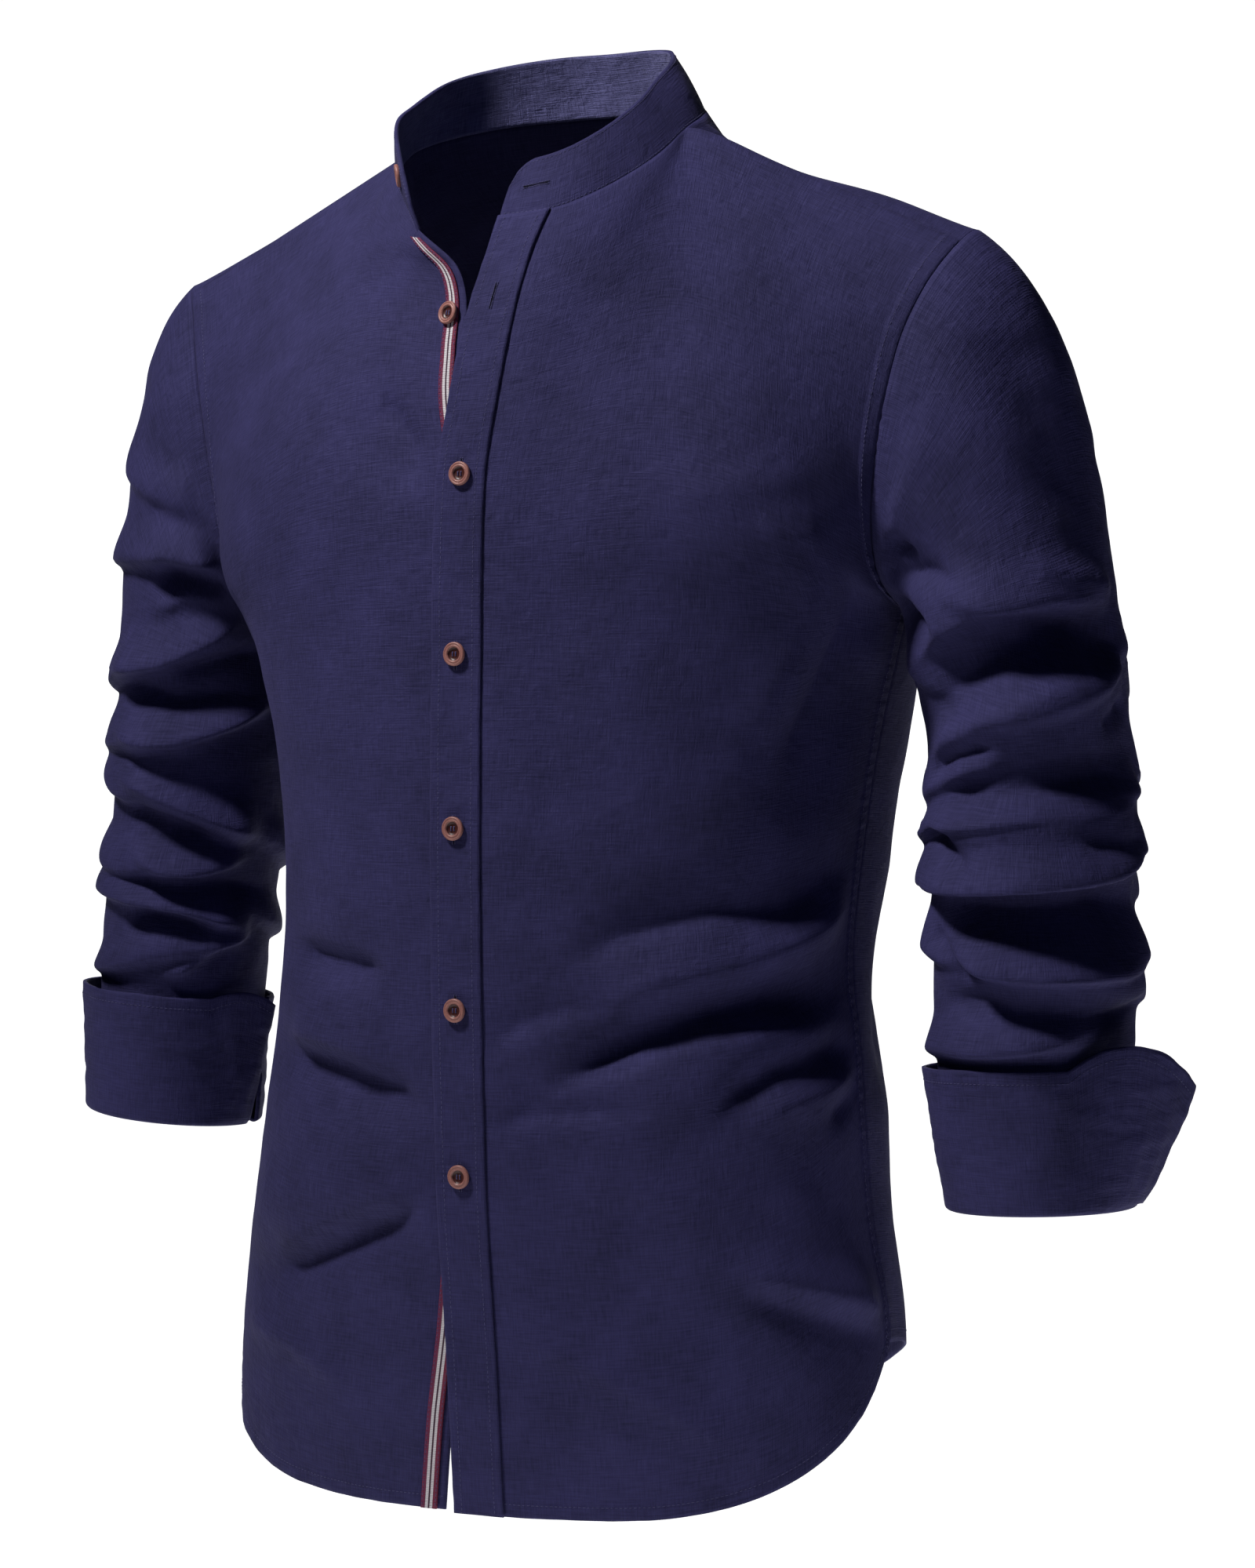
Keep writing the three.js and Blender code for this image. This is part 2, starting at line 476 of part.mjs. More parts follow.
// One front: level sections up to the armpit, then a patch between its centre edge, the neck and
// shoulder seams and the armhole. Its first columns lie at given distances from the centre edge.
function frontPanel({ hand, edgeBelow, edgeAbove, edgeEase, firstColumns, neckStart, neckEnd, lap }) {
  const spreadColumns = NECK_COLUMNS + SHOULDER_COLUMNS;
  const columns = firstColumns.length + spreadColumns;
  const rows = BODY_ROWS + FRONT_ARMHOLE_ROWS;
  const shareAt = (column, height) => {
    const { length } = quarterSection(height, false);
    const edge = hand * read(edgeBelow, 'height', height, 'x') / length;
    if (column < firstColumns.length) return edge + firstColumns[column] / length;
    const start = edge + firstColumns[firstColumns.length - 1] / length;
    return mix(start, 1, (column - firstColumns.length + 1) / spreadColumns);
  };
  const edgeShare = shareAt(0, ARMPIT_HEIGHT);
  const across = (column) => (shareAt(column, ARMPIT_HEIGHT) - edgeShare) / (1 - edgeShare);
  const neckColumn = columns - 1 - SHOULDER_COLUMNS;
  const neckShare = across(neckColumn);
  const topEdge = (a) => (a < neckShare
    ? neckPoint(mix(neckStart, neckEnd, a / neckShare))
    : shoulderPoint((a - neckShare) / (1 - neckShare), hand));
  const topHeight = edgeAbove[edgeAbove.length - 1].height - NECK_GAP;
  const centreEdge = (b) => {
    const height = mix(topHeight, ARMPIT_HEIGHT, (1 - b) ** edgeEase);
    return point(read(edgeAbove, 'height', height, 'x'), read(edgeAbove, 'height', height, 'y'), height);
  };
  const edgeFade = (b) => mix(EDGE_FADE_LOW, EDGE_FADE_TOP, b ** EDGE_FADE_TURN);
  const upward = (a, b) => {
    const base = bodyPoint(mix(edgeShare, 1, a), ARMPIT_HEIGHT, false, hand);
    const top = topEdge(a);
    const reach = top.distanceTo(base);
    const toNeck = smooth(1.5 * a / neckShare) * (1 - smooth((a - neckShare) / NECK_REACH));
    const arrive = point(-hand * 0.3 * toNeck, mix(0.45, 0.72, smooth(a * 1.6)), 0.75).multiplyScalar(reach);
    const leave = bodyRise(mix(edgeShare, 1, a), false, hand).multiplyScalar(reach);
    return hermite(base, leave, top, arrive, b);
  };
  const grid = [];
  const places = [];
  for (let i = 0; i < columns; i += 1) {
    const a = across(i);
    const atSide = i === columns - 1;
    const line = [];
    const marks = [];
    for (let j = 0; j <= rows; j += 1) {
      if (j <= BODY_ROWS) {
        const height = mix(frontHem(shareAt(i, FRONT_HEM), hand), ARMPIT_HEIGHT, j / BODY_ROWS);
        const share = shareAt(i, height);
        const p = bodyPoint(share, height, false, hand);
        if (atSide) p.y -= SEAM_GAP / 2;
        line.push(p);
        marks.push({ round: hand * share * SIDE_ROUND, height, away: bodyNormal(share, height, false, hand), fade: 1 });
      } else {
        const b = (j - BODY_ROWS) / FRONT_ARMHOLE_ROWS;
        const turn = FRONT_YOKE_TURN * b;
        const p = upward(a, b);
        p.addScaledVector(centreEdge(b).sub(upward(0, b)), (1 - a) ** edgeFade(b));
        p.addScaledVector(armholePoint(turn, hand).sub(upward(1, b)), a ** 1.5);
        if (atSide) p.addScaledVector(armholeOut(turn, hand), -SEAM_GAP / 2);
        if (j === rows && i > neckColumn) p.addScaledVector(SHOULDER_OVER, -SEAM_GAP / 2);
        line.push(p);
        const round = hand * mix(edgeShare, 1, a) * SIDE_ROUND;
        marks.push({ round, height: p.z, fade: atSide ? 0 : 1 - smooth(b * 1.1) });
      }
    }
    grid.push(line);
    places.push(marks);
  }
  const inside = (p) => point(0, 30, p.z - 60);
  const plain = gridNormals(grid, false, inside);
  grid.forEach((line, i) => line.forEach((p, j) => {
    const { round, height, away, fade } = places[i][j];
    const fromEdge = hand * (p.x - grid[0][j].x);
    const lapped = lap ? 1 - smooth((fromEdge - LAP_FLAT) / (LAP_FADED - LAP_FLAT)) : 0;
    const step = LAP_STEP * lapped * (1 - smooth((height + 120) / 55));
    places[i][j].move = bodyFold(round, height) * fade + step;
    places[i][j].normal = away ?? plain[i][j];
  }));
  grid.forEach((line, i) => line.forEach((p, j) => p.addScaledVector(places[i][j].normal, places[i][j].move)));
  const normals = gridNormals(grid, false, inside);
  for (let j = 0; j <= rows; j += 1) {
    const turn = FRONT_YOKE_TURN * (j - BODY_ROWS) / FRONT_ARMHOLE_ROWS;
    const { normal } = places[columns - 1][j];
    normals[columns - 1][j] = turn > 0 ? seamedNormal(normals[columns - 1][j], turn, hand) : normal.clone();
  }
  for (let i = neckColumn; i < columns - 1; i += 1) normals[i][rows] = shoulderNormal(hand);
  const neckParts = Array.from({ length: neckColumn + 1 }, (_, i) => mix(neckStart, neckEnd, across(i) / neckShare));
  for (let i = 0; i < neckColumn; i += 1) {
    const flat = neckNormal(neckParts[i], hand);
    normals[i][rows] = blend(normals[i][rows - 1], flat, smooth(i / neckColumn)).normalize();
  }
  normals[0][rows].multiplyScalar(CORNER_WALL / WALL);
  return { grid, normals, neckParts };
}

const LEFT_FRONT = frontPanel({
  hand: 1,
  edgeBelow: LEFT_EDGE_BELOW,
  edgeAbove: LEFT_EDGE,
  edgeEase: 1,
  firstColumns: [0, PLACKET_WIDTH / 2, PLACKET_WIDTH],
  neckStart: 0,
  neckEnd: LEFT_NECK_PART,
  lap: true,
});
const RIGHT_FRONT = frontPanel({
  hand: -1,
  edgeBelow: RIGHT_EDGE_BELOW,
  edgeAbove: RIGHT_EDGE,
  edgeEase: 1.6,
  firstColumns: [0, TAPE_FROM_EDGE, TAPE_FROM_EDGE + TAPE_WIDTH, 2 * TAPE_WIDTH + TAPE_FROM_EDGE],
  neckStart: 1,
  neckEnd: RIGHT_NECK_PART,
  lap: false,
});
addPiece('front_left', wallGeometry(LEFT_FRONT.grid, LEFT_FRONT.normals, WALL, false), NAVY);
addPiece('front_right', wallGeometry(RIGHT_FRONT.grid, RIGHT_FRONT.normals, WALL, false), NAVY);

// The yoke's back seam, at a place from -1 at the wearer's right armhole to 1 at the left one
function yokeSeamPoint(place) {
  const part = Math.abs(place);
  return point(
    Math.sign(place) * read(YOKE_SEAM, 'part', part, 'x'),
    read(YOKE_SEAM, 'part', part, 'y'),
    read(YOKE_SEAM, 'part', part, 'z'),
  );
}
const YOKE_DOWN = point(0, 0.32, -0.95);
function yokeSeamNormal(place) {
  const along = yokeSeamPoint(Math.min(place + 0.02, 1)).sub(yokeSeamPoint(Math.max(place - 0.02, -1)));
  const normal = along.cross(YOKE_DOWN).normalize();
  return normal.y < 0 ? normal.negate() : normal;
}

// The back: level sections up to the armpit, then a patch up to the yoke between the two armholes
const BACK_COLUMNS = 2 * SHOULDER_COLUMNS + YOKE_NECK_COLUMNS;
function backPanel() {
  const rows = BODY_ROWS + BACK_ARMHOLE_ROWS;
  const upward = (place, b) => {
    const base = bodyPoint(Math.abs(place), ARMPIT_HEIGHT, true, Math.sign(place || 1));
    const top = yokeSeamPoint(place);
    const reach = top.distanceTo(base);
    const leave = bodyRise(Math.abs(place), true, Math.sign(place || 1)).multiplyScalar(reach);
    return hermite(base, leave, top, YOKE_DOWN.clone().multiplyScalar(-reach), b);
  };
  const grid = [];
  const places = [];
  for (let i = 0; i <= BACK_COLUMNS; i += 1) {
    const place = 2 * i / BACK_COLUMNS - 1;
    const share = Math.abs(place);
    const hand = Math.sign(place || 1);
    const atSide = i === 0 || i === BACK_COLUMNS;
    const round = hand * (2 - share) * SIDE_ROUND;
    const line = [];
    const marks = [];
    for (let j = 0; j <= rows; j += 1) {
      if (j <= BODY_ROWS) {
        const height = mix(backHem(share), ARMPIT_HEIGHT, j / BODY_ROWS);
        const p = bodyPoint(share, height, true, hand);
        if (atSide) p.y += SEAM_GAP / 2;
        line.push(p);
        marks.push({ round, height, away: bodyNormal(share, height, true, hand), fade: 1 });
      } else {
        const b = (j - BODY_ROWS) / BACK_ARMHOLE_ROWS;
        const turn = mix(1, BACK_YOKE_TURN, b);
        const p = upward(place, b);
        const edge = armholePoint(turn, hand).sub(upward(hand, b));
        p.addScaledVector(edge, share ** 2);
        if (atSide) p.addScaledVector(armholeOut(turn, hand), -SEAM_GAP / 2);
        if (j === rows) p.addScaledVector(YOKE_DOWN, SEAM_GAP / 2);
        line.push(p);
        marks.push({ round, height: p.z, fade: atSide ? 0 : 1 - smooth(b * 1.2) });
      }
    }
    grid.push(line);
    places.push(marks);
  }
  const inside = (p) => point(0, 30, p.z);
  const plain = gridNormals(grid, false, inside);
  const away = (i, j) => places[i][j].away ?? plain[i][j];
  grid.forEach((line, i) => line.forEach((p, j) => {
    const { round, height, fade } = places[i][j];
    places[i][j].normal = away(i, j);
    places[i][j].move = bodyFold(round, height) * fade;
  }));
  grid.forEach((line, i) => line.forEach((p, j) => p.addScaledVector(places[i][j].normal, places[i][j].move)));
  const normals = gridNormals(grid, false, inside);
  [0, BACK_COLUMNS].forEach((i) => {
    for (let j = 0; j <= rows; j += 1) {
      const b = (j - BODY_ROWS) / BACK_ARMHOLE_ROWS;
      const turn = mix(1, BACK_YOKE_TURN, b);
      const { normal } = places[i][j];
      normals[i][j] = b > 0 ? seamedNormal(normals[i][j], turn, i === 0 ? -1 : 1) : normal.clone();
    }
  });
  for (let i = 1; i < BACK_COLUMNS; i += 1) normals[i][rows] = yokeSeamNormal(2 * i / BACK_COLUMNS - 1);
  return { grid, normals };
}
const BACK = backPanel();
addPiece('back', wallGeometry(BACK.grid, BACK.normals, WALL, false), NAVY);

// The yoke: over both shoulders from its back seam to the neck and the front shoulder seams
const YOKE_NECK_OVER = point(0, -0.6, 0.8);
function yokePanel() {
  const topEdge = (i) => {
    const shoulder = SHOULDER_COLUMNS;
    if (i <= shoulder) return shoulderPoint(1 - i / shoulder, -1);
    if (i >= BACK_COLUMNS - shoulder) return shoulderPoint(1 - (BACK_COLUMNS - i) / shoulder, 1);
    return neckPoint(mix(RIGHT_NECK_PART, LEFT_NECK_PART, (i - shoulder) / YOKE_NECK_COLUMNS));
  };
  const grid = [];
  for (let i = 0; i <= BACK_COLUMNS; i += 1) {
    const place = 2 * i / BACK_COLUMNS - 1;
    const share = Math.abs(place);
    const hand = Math.sign(place || 1);
    const atSide = i === 0 || i === BACK_COLUMNS;
    const onShoulder = i < SHOULDER_COLUMNS || i > BACK_COLUMNS - SHOULDER_COLUMNS;
    const towardNeck = smooth((1 - share) * 2.2);
    const line = [];
    for (let j = 0; j <= YOKE_ROWS; j += 1) {
      const b = j / YOKE_ROWS;
      const turn = mix(BACK_YOKE_TURN, FRONT_YOKE_TURN, b);
      const from = yokeSeamPoint(place);
      const to = topEdge(i);
      const reach = from.distanceTo(to);
      const inward = point(-hand * 0.35 * towardNeck, 0, 0);
      const arrive = blend(SHOULDER_OVER.clone().negate(), YOKE_NECK_OVER, towardNeck).add(inward);
      const p = hermite(from, YOKE_DOWN.clone().multiplyScalar(-reach), to, arrive.multiplyScalar(reach), b);
      const overShoulder = smooth((share - 0.32) / 0.15) * smooth((1 - share) / 0.5);
      p.z += shoulderRise(hand).yokeRise * Math.sin(Math.PI * b) * overShoulder;
      if (atSide) p.copy(armholePoint(turn, hand)).addScaledVector(armholeOut(turn, hand), -SEAM_GAP / 2);
      if (j === 0) p.addScaledVector(YOKE_DOWN, -SEAM_GAP / 2);
      if (j === YOKE_ROWS && onShoulder) p.addScaledVector(SHOULDER_OVER, SEAM_GAP / 2);
      line.push(p);
    }
    grid.push(line);
  }
  const normals = gridNormals(grid, false, (p) => point(0, 40, p.z - 90));
  for (let i = 0; i <= BACK_COLUMNS; i += 1) {
    const place = 2 * i / BACK_COLUMNS - 1;
    const onShoulder = i < SHOULDER_COLUMNS || i > BACK_COLUMNS - SHOULDER_COLUMNS;
    normals[i][0] = yokeSeamNormal(place);
    const atCorner = i === SHOULDER_COLUMNS || i === BACK_COLUMNS - SHOULDER_COLUMNS;
    if (onShoulder || atCorner) normals[i][YOKE_ROWS] = shoulderNormal(Math.sign(place));
  }
  [0, BACK_COLUMNS].forEach((i) => {
    for (let j = 0; j <= YOKE_ROWS; j += 1) {
      normals[i][j] = armholeNormal(mix(BACK_YOKE_TURN, FRONT_YOKE_TURN, j / YOKE_ROWS), i === 0 ? -1 : 1);
    }
  });
  return { grid, normals };
}
const YOKE = yokePanel();
addPiece('yoke', wallGeometry(YOKE.grid, YOKE.normals, WALL, false), NAVY);

// A strip that lies on a panel, made from some of its columns moved out along their normals
function stripOn({ grid, normals }, columns, rows, lift, wall) {
  const outer = columns.map((i) => grid[i].slice(0, rows)
    .map((p, j) => p.clone().addScaledVector(normals[i][j], lift + wall)));
  return wallGeometry(outer, columns.map((i) => normals[i]), wall, false);
}
const FRONT_ROWS = LEFT_FRONT.grid[0].length;
addPiece('placket', stripOn(LEFT_FRONT, [0, 1, 2], FRONT_ROWS, SEAM_GAP, PLACKET_WALL), NAVY);

// The tape ends one row short of the neck, where the turned front hides it
const TAPE_FINISH = { color: '#6e1038', roughness: 0.8, metalness: 0 };
addPiece('tape', stripOn(RIGHT_FRONT, [1, 2], FRONT_ROWS - 1, SEAM_GAP, TAPE_WALL), TAPE_FINISH);

// The arm's section at a height, and the place on it at a turn from the inner side over the front
function armPoint(arm, turn, height, hand, shrink = 0) {
  const angle = 2 * Math.PI * turn;
  const wide = read(arm, 'height', height, 'wide') - shrink;
  const deep = read(arm, 'height', height, 'deep') - shrink;
  const x = read(arm, 'height', height, 'x') - wide * Math.cos(angle);
  return point(hand * x, read(arm, 'height', height, 'y') - deep * Math.sin(angle), height);
}

// How far a sleeve's folds stand out at a turn and height: a fold's upper side is long and its lower
// side short
function sleeveFold(folds, turn, height) {
  return folds.reduce((sum, fold) => {
    const middle = (fold.from + fold.to) / 2 < 0.5 ? 0.25 : 0.75;
    const t = middle + (turn - middle - Math.round(turn - middle));
    const place = THREE.MathUtils.clamp((t - middle) / 0.2 * (middle < 0.5 ? 1 : -1), -1.3, 1.3);
    const bow = (fold.outer + fold.inner) / 2 - fold.front;
    const ridge = fold.front + (fold.outer - fold.inner) / 2 * place + bow * place * place;
    const off = (height - ridge) / fold.tall;
    const reach = off > 0 ? 1.15 : 0.8;
    const shape = Math.abs(off) < reach ? (1 + Math.cos(Math.PI * off / reach)) / 2 : 0;
    return sum + fold.out * shape * smooth((t - fold.from) / 0.1) * smooth((fold.to - t) / 0.1);
  }, 0);
}

// A sleeve: from the armhole seam over the sleeve head to the arm, and down it to its cuff's lip
const FOLD_SAG = 0.45;
const CUFF_LIP = 13;
const CUFF_FOLD_RADIUS = 3.25;
const SLEEVE_TURNS = [
  ...steps(FRONT_ARMHOLE_ROWS).slice(0, -1).map((b) => FRONT_YOKE_TURN * b),
  ...steps(YOKE_ROWS).slice(0, -1).map((b) => mix(FRONT_YOKE_TURN, BACK_YOKE_TURN, b)),
  ...steps(BACK_ARMHOLE_ROWS).slice(0, -1).map((b) => mix(BACK_YOKE_TURN, 1, b)),
];
function cuffRing(cuff, turn, share, hand, shrink) {
  const angle = 2 * Math.PI * turn;
  const wide = mix(cuff.topWide, cuff.foldWide, share) - shrink;
  const deep = mix(cuff.topDeep, cuff.foldDeep, share) - shrink;
  const outward = -wide * Math.cos(angle);
  const height = mix(cuff.topHeight + cuff.tilt * outward, cuff.foldHeight + cuff.foldTilt * outward, share);
  return point(hand * (cuff.x + cuff.foldShift * share + outward), cuff.y - deep * Math.sin(angle), height);
}
function sleeve(hand, arm, cuff, folds) {
  const middle = (height) => armPoint(arm, 0, height, hand).add(armPoint(arm, 0.5, height, hand)).multiplyScalar(0.5);
  const cuffHeight = cuff.topHeight - cuff.foldHeight;
  const lipShare = 1 - CUFF_LIP / cuffHeight;
  const endShrink = 2 * CUFF_FOLD_RADIUS - CUFF_WALL + SEAM_GAP;
  const grid = SLEEVE_TURNS.map((turn) => {
    const seam = armholePoint(turn, hand);
    const out = armholeOut(turn, hand);
    const biceps = armPoint(arm, turn, BICEPS_HEIGHT, hand);
    const reach = seam.distanceTo(biceps);
    const down = middle(BICEPS_HEIGHT - 5).sub(middle(BICEPS_HEIGHT)).normalize();
    const end = cuffRing(cuff, turn, lipShare, hand, endShrink);
    end.z += SEAM_GAP;
    const line = [];
    for (let j = 0; j < CAP_ROWS; j += 1) {
      const t = j / CAP_ROWS;
      const leave = out.clone().multiplyScalar(reach * 0.9);
      line.push(hermite(seam, leave, biceps, down.clone().multiplyScalar(reach * 1.1), t));
    }
    line[0].addScaledVector(out, SEAM_GAP / 2);
    for (let j = 0; j <= ARM_ROWS; j += 1) {
      const height = mix(BICEPS_HEIGHT, end.z, j / ARM_ROWS);
      const p = armPoint(arm, turn, height, hand);
      line.push(p.lerp(end, smooth((j / ARM_ROWS - 0.82) / 0.18)));
    }
    line[line.length - 1].copy(end);
    return line.map((p, j) => {
      const centre = p.z > BICEPS_HEIGHT ? middle(BICEPS_HEIGHT) : middle(p.z);
      const outward = point(p.x - centre.x, p.y - centre.y, 0).normalize();
      const clear = smooth((j - 1) / 4) * smooth((p.z - cuffRing(cuff, turn, 0, hand, 0).z - 3) / 12);
      const fold = sleeveFold(folds, turn, p.z) * clear;
      return p.addScaledVector(outward, fold).add(point(0, 0, -FOLD_SAG * fold));
    });
  });
  const normals = gridNormals(grid, true, (p) => (p.z > BICEPS_HEIGHT ? point(hand * 225, 30, p.z - 60) : middle(p.z)));
  SLEEVE_TURNS.forEach((turn, i) => {
    normals[i][0] = seamedNormal(normals[i][0], turn, hand);
    normals[i][grid[i].length - 1].z = 0;
    normals[i][grid[i].length - 1].normalize();
  });
  return { grid, normals };
}
const LEFT_SLEEVE = sleeve(1, LEFT_ARM, LEFT_CUFF, LEFT_SLEEVE_FOLDS);
const RIGHT_SLEEVE = sleeve(-1, RIGHT_ARM, RIGHT_CUFF, RIGHT_SLEEVE_FOLDS);
addPiece('sleeve_left', wallGeometry(LEFT_SLEEVE.grid, LEFT_SLEEVE.normals, WALL, true), NAVY);
addPiece('sleeve_right', wallGeometry(RIGHT_SLEEVE.grid, RIGHT_SLEEVE.normals, WALL, true), NAVY);

// A turned-back cuff: one strip round the arm, from its top edge down to the fold and up inside to the
// sleeve's end. Its last stretch stands away from the arm at the top.
const CUFF_DOWN = [0, 0.22, 0.44, 0.66, 0.86];
const CUFF_BENDS = 4;
function cuffStrip(hand, cuff) {
  const cuffHeight = cuff.topHeight - cuff.foldHeight;
  const bendStart = 1 - CUFF_FOLD_RADIUS / cuffHeight;
  const span = cuff.toTurn - cuff.fromTurn;
  const grid = steps(CUFF_COLUMNS).map((step) => {
    const turn = mix(cuff.fromTurn, cuff.toTurn, step);
    const along = Math.max(1 - (cuff.toTurn - turn) / (Math.sign(span) * cuff.wingTurn), 0);
    const inWing = smooth(along);
    const topLift = cuff.wingLift * (Math.sin(0.9 * Math.PI * along) - 0.9 * along ** 2);
    const tangentTurn = turn - Math.sign(span) * cuff.wingTurn * inWing * 0.45;
    const line = [];
    const add = (share, inward, lift, wing) => {
      const p = cuffRing(cuff, turn, share, hand, inward);
      const centre = point(hand * cuff.x, cuff.y, p.z);
      const out = cuffRing(cuff, tangentTurn, share, hand, 0).sub(centre).setZ(0).normalize();
      p.addScaledVector(out, cuff.wing * inWing * wing);
      p.z += lift + topLift * wing;
      line.push(p);
    };
    [...CUFF_DOWN, bendStart].forEach((share) => add(share, 0, 0, (1 - share) ** 0.8));
    for (let k = 1; k <= CUFF_BENDS; k += 1) {
      const angle = Math.PI * k / CUFF_BENDS;
      const inward = CUFF_FOLD_RADIUS * (1 - Math.cos(angle));
      add(bendStart, inward, -CUFF_FOLD_RADIUS * Math.sin(angle), 0);
    }
    add(1 - CUFF_LIP / cuffHeight, 2 * CUFF_FOLD_RADIUS, 0, 0);
    return line;
  });
  const middleRadius = (p) => {
    const centre = point(hand * cuff.x, cuff.y, cuff.foldHeight + CUFF_LIP);
    const out = point(p.x - centre.x, p.y - centre.y, 0).normalize();
    return centre.addScaledVector(out, cuff.foldWide - CUFF_FOLD_RADIUS);
  };
  const normals = gridNormals(grid, false, middleRadius);
  return { grid, normals };
}
[['cuff_left', 1, LEFT_CUFF], ['cuff_right', -1, RIGHT_CUFF]].forEach(([name, hand, cuff]) => {
  const { grid, normals } = cuffStrip(hand, cuff);
  addPiece(name, wallGeometry(grid, normals, CUFF_WALL, false), NAVY);
});

// The band collar, its upper corners rounded at both ends
const COLLAR_RISE = 3;
const COLLAR_CORNER_STEPS = 4;
function collarBand() {
  const corner = steps(COLLAR_CORNER_STEPS).map((step) => COLLAR_CORNER * (1 - Math.cos(step * Math.PI / 2)) / COLLAR_LENGTH);
  const yokeParts = steps(YOKE_NECK_COLUMNS).map((step) => mix(LEFT_NECK_PART, RIGHT_NECK_PART, step));
  const seamParts = [...LEFT_FRONT.neckParts, ...yokeParts.slice(1, -1), ...[...RIGHT_FRONT.neckParts].reverse()];
  const onSeam = (part) => {
    let k = 1;
    while (k < seamParts.length - 1 && seamParts[k] < part) k += 1;
    const within = (part - seamParts[k - 1]) / (seamParts[k] - seamParts[k - 1]);
    const p = blend(neckPoint(seamParts[k - 1]), neckPoint(seamParts[k]), within);
    p.z += NECK_GAP;
    return p;
  };
  const cornerPart = corner[COLLAR_CORNER_STEPS];
  const between = seamParts.filter((part) => part > cornerPart * 1.05 && part < 1 - cornerPart * 1.05);
  const parts = [...corner, ...between, ...corner.map((part) => 1 - part).reverse()];
  const grid = parts.map((part) => {
    const base = onSeam(part);
    const top = point(read(COLLAR, 'part', part, 'topX'), read(COLLAR, 'part', part, 'topY'), read(COLLAR, 'part', part, 'topZ'));
    const fromEnd = Math.min(part, 1 - part) * COLLAR_LENGTH;
    const cut = Math.max(COLLAR_CORNER - fromEnd, 0);
    const lost = COLLAR_CORNER - Math.sqrt(COLLAR_CORNER ** 2 - cut ** 2);
    const full = 1 - lost / base.distanceTo(top);
    return steps(COLLAR_RISE).map((share) => blend(base, top, share * full));
  });
  return { grid, normals: gridNormals(grid, false, (p) => point(0, 0, p.z)) };
}
const COLLAR_BAND = collarBand();
addPiece('collar_band', wallGeometry(COLLAR_BAND.grid, COLLAR_BAND.normals, COLLAR_WALL, false), NAVY);

// A button: a turned disc with a raised rim and a dished middle
const BUTTON_PROFILE = [
  [0, 0], [0.8, 0], [1, 0.16], [1, 0.3], [0.88, 0.44], [0.7, 0.42], [0.58, 0.27], [0, 0.24],
];
function addButton(name, foot, normal) {
  const profile = BUTTON_PROFILE.map(([out, up]) => new THREE.Vector2(out * BUTTON_RADIUS, up * BUTTON_RADIUS));
  const geometry = new THREE.LatheGeometry(profile, BUTTON_SEGMENTS);
  const turn = new THREE.Quaternion().setFromUnitVectors(point(0, 1, 0), normal);
  geometry.applyQuaternion(turn);
  geometry.translate(foot.x, foot.y, foot.z);
  addPiece(name, geometry, { color: '#8a4a3c', roughness: 0.5, metalness: 0 });
}

// The place and normal on a column of a panel at a height
function placeOnColumn({ grid, normals }, column, height) {
  const line = grid[column];
  let j = 1;
  while (j < line.length - 1 && line[j].z < height) j += 1;
  const t = (height - line[j - 1].z) / (line[j].z - line[j - 1].z);
  return { p: blend(line[j - 1], line[j], t), n: blend(normals[column][j - 1], normals[column][j], t).normalize() };
}
BUTTON_HEIGHTS.forEach((height, k) => {
  const { p, n } = placeOnColumn(LEFT_FRONT, 1, height);
  addButton(`button_${k + 1}`, p.addScaledVector(n, 2 * SEAM_GAP + PLACKET_WALL), n);
});
const tapeSide = placeOnColumn(RIGHT_FRONT, 1, OPEN_BUTTON_HEIGHT);
const tapeFarSide = placeOnColumn(RIGHT_FRONT, 2, OPEN_BUTTON_HEIGHT);
const tapeNormal = blend(tapeSide.n, tapeFarSide.n, 0.5).normalize();
const tapeFoot = blend(tapeSide.p, tapeFarSide.p, 0.5).addScaledVector(tapeNormal, 2 * SEAM_GAP + TAPE_WALL);
addButton('button_open', tapeFoot, tapeNormal);
const collarColumn = COLLAR_BAND.grid.length - 1 - COLLAR_CORNER_STEPS;
const collarNormal = COLLAR_BAND.normals[collarColumn][1].clone();
const collarFoot = blend(COLLAR_BAND.grid[collarColumn][1], COLLAR_BAND.grid[collarColumn][2], 0.5);
addButton('button_collar', collarFoot.addScaledVector(collarNormal, SEAM_GAP), collarNormal);

export default SHIRT;
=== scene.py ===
# A worn mandarin collar shirt: its cloth, sewing and buttons over the frame, then the studio and camera.
import math

import bmesh
import bpy
import numpy as np
from mathutils import Matrix, Vector, noise


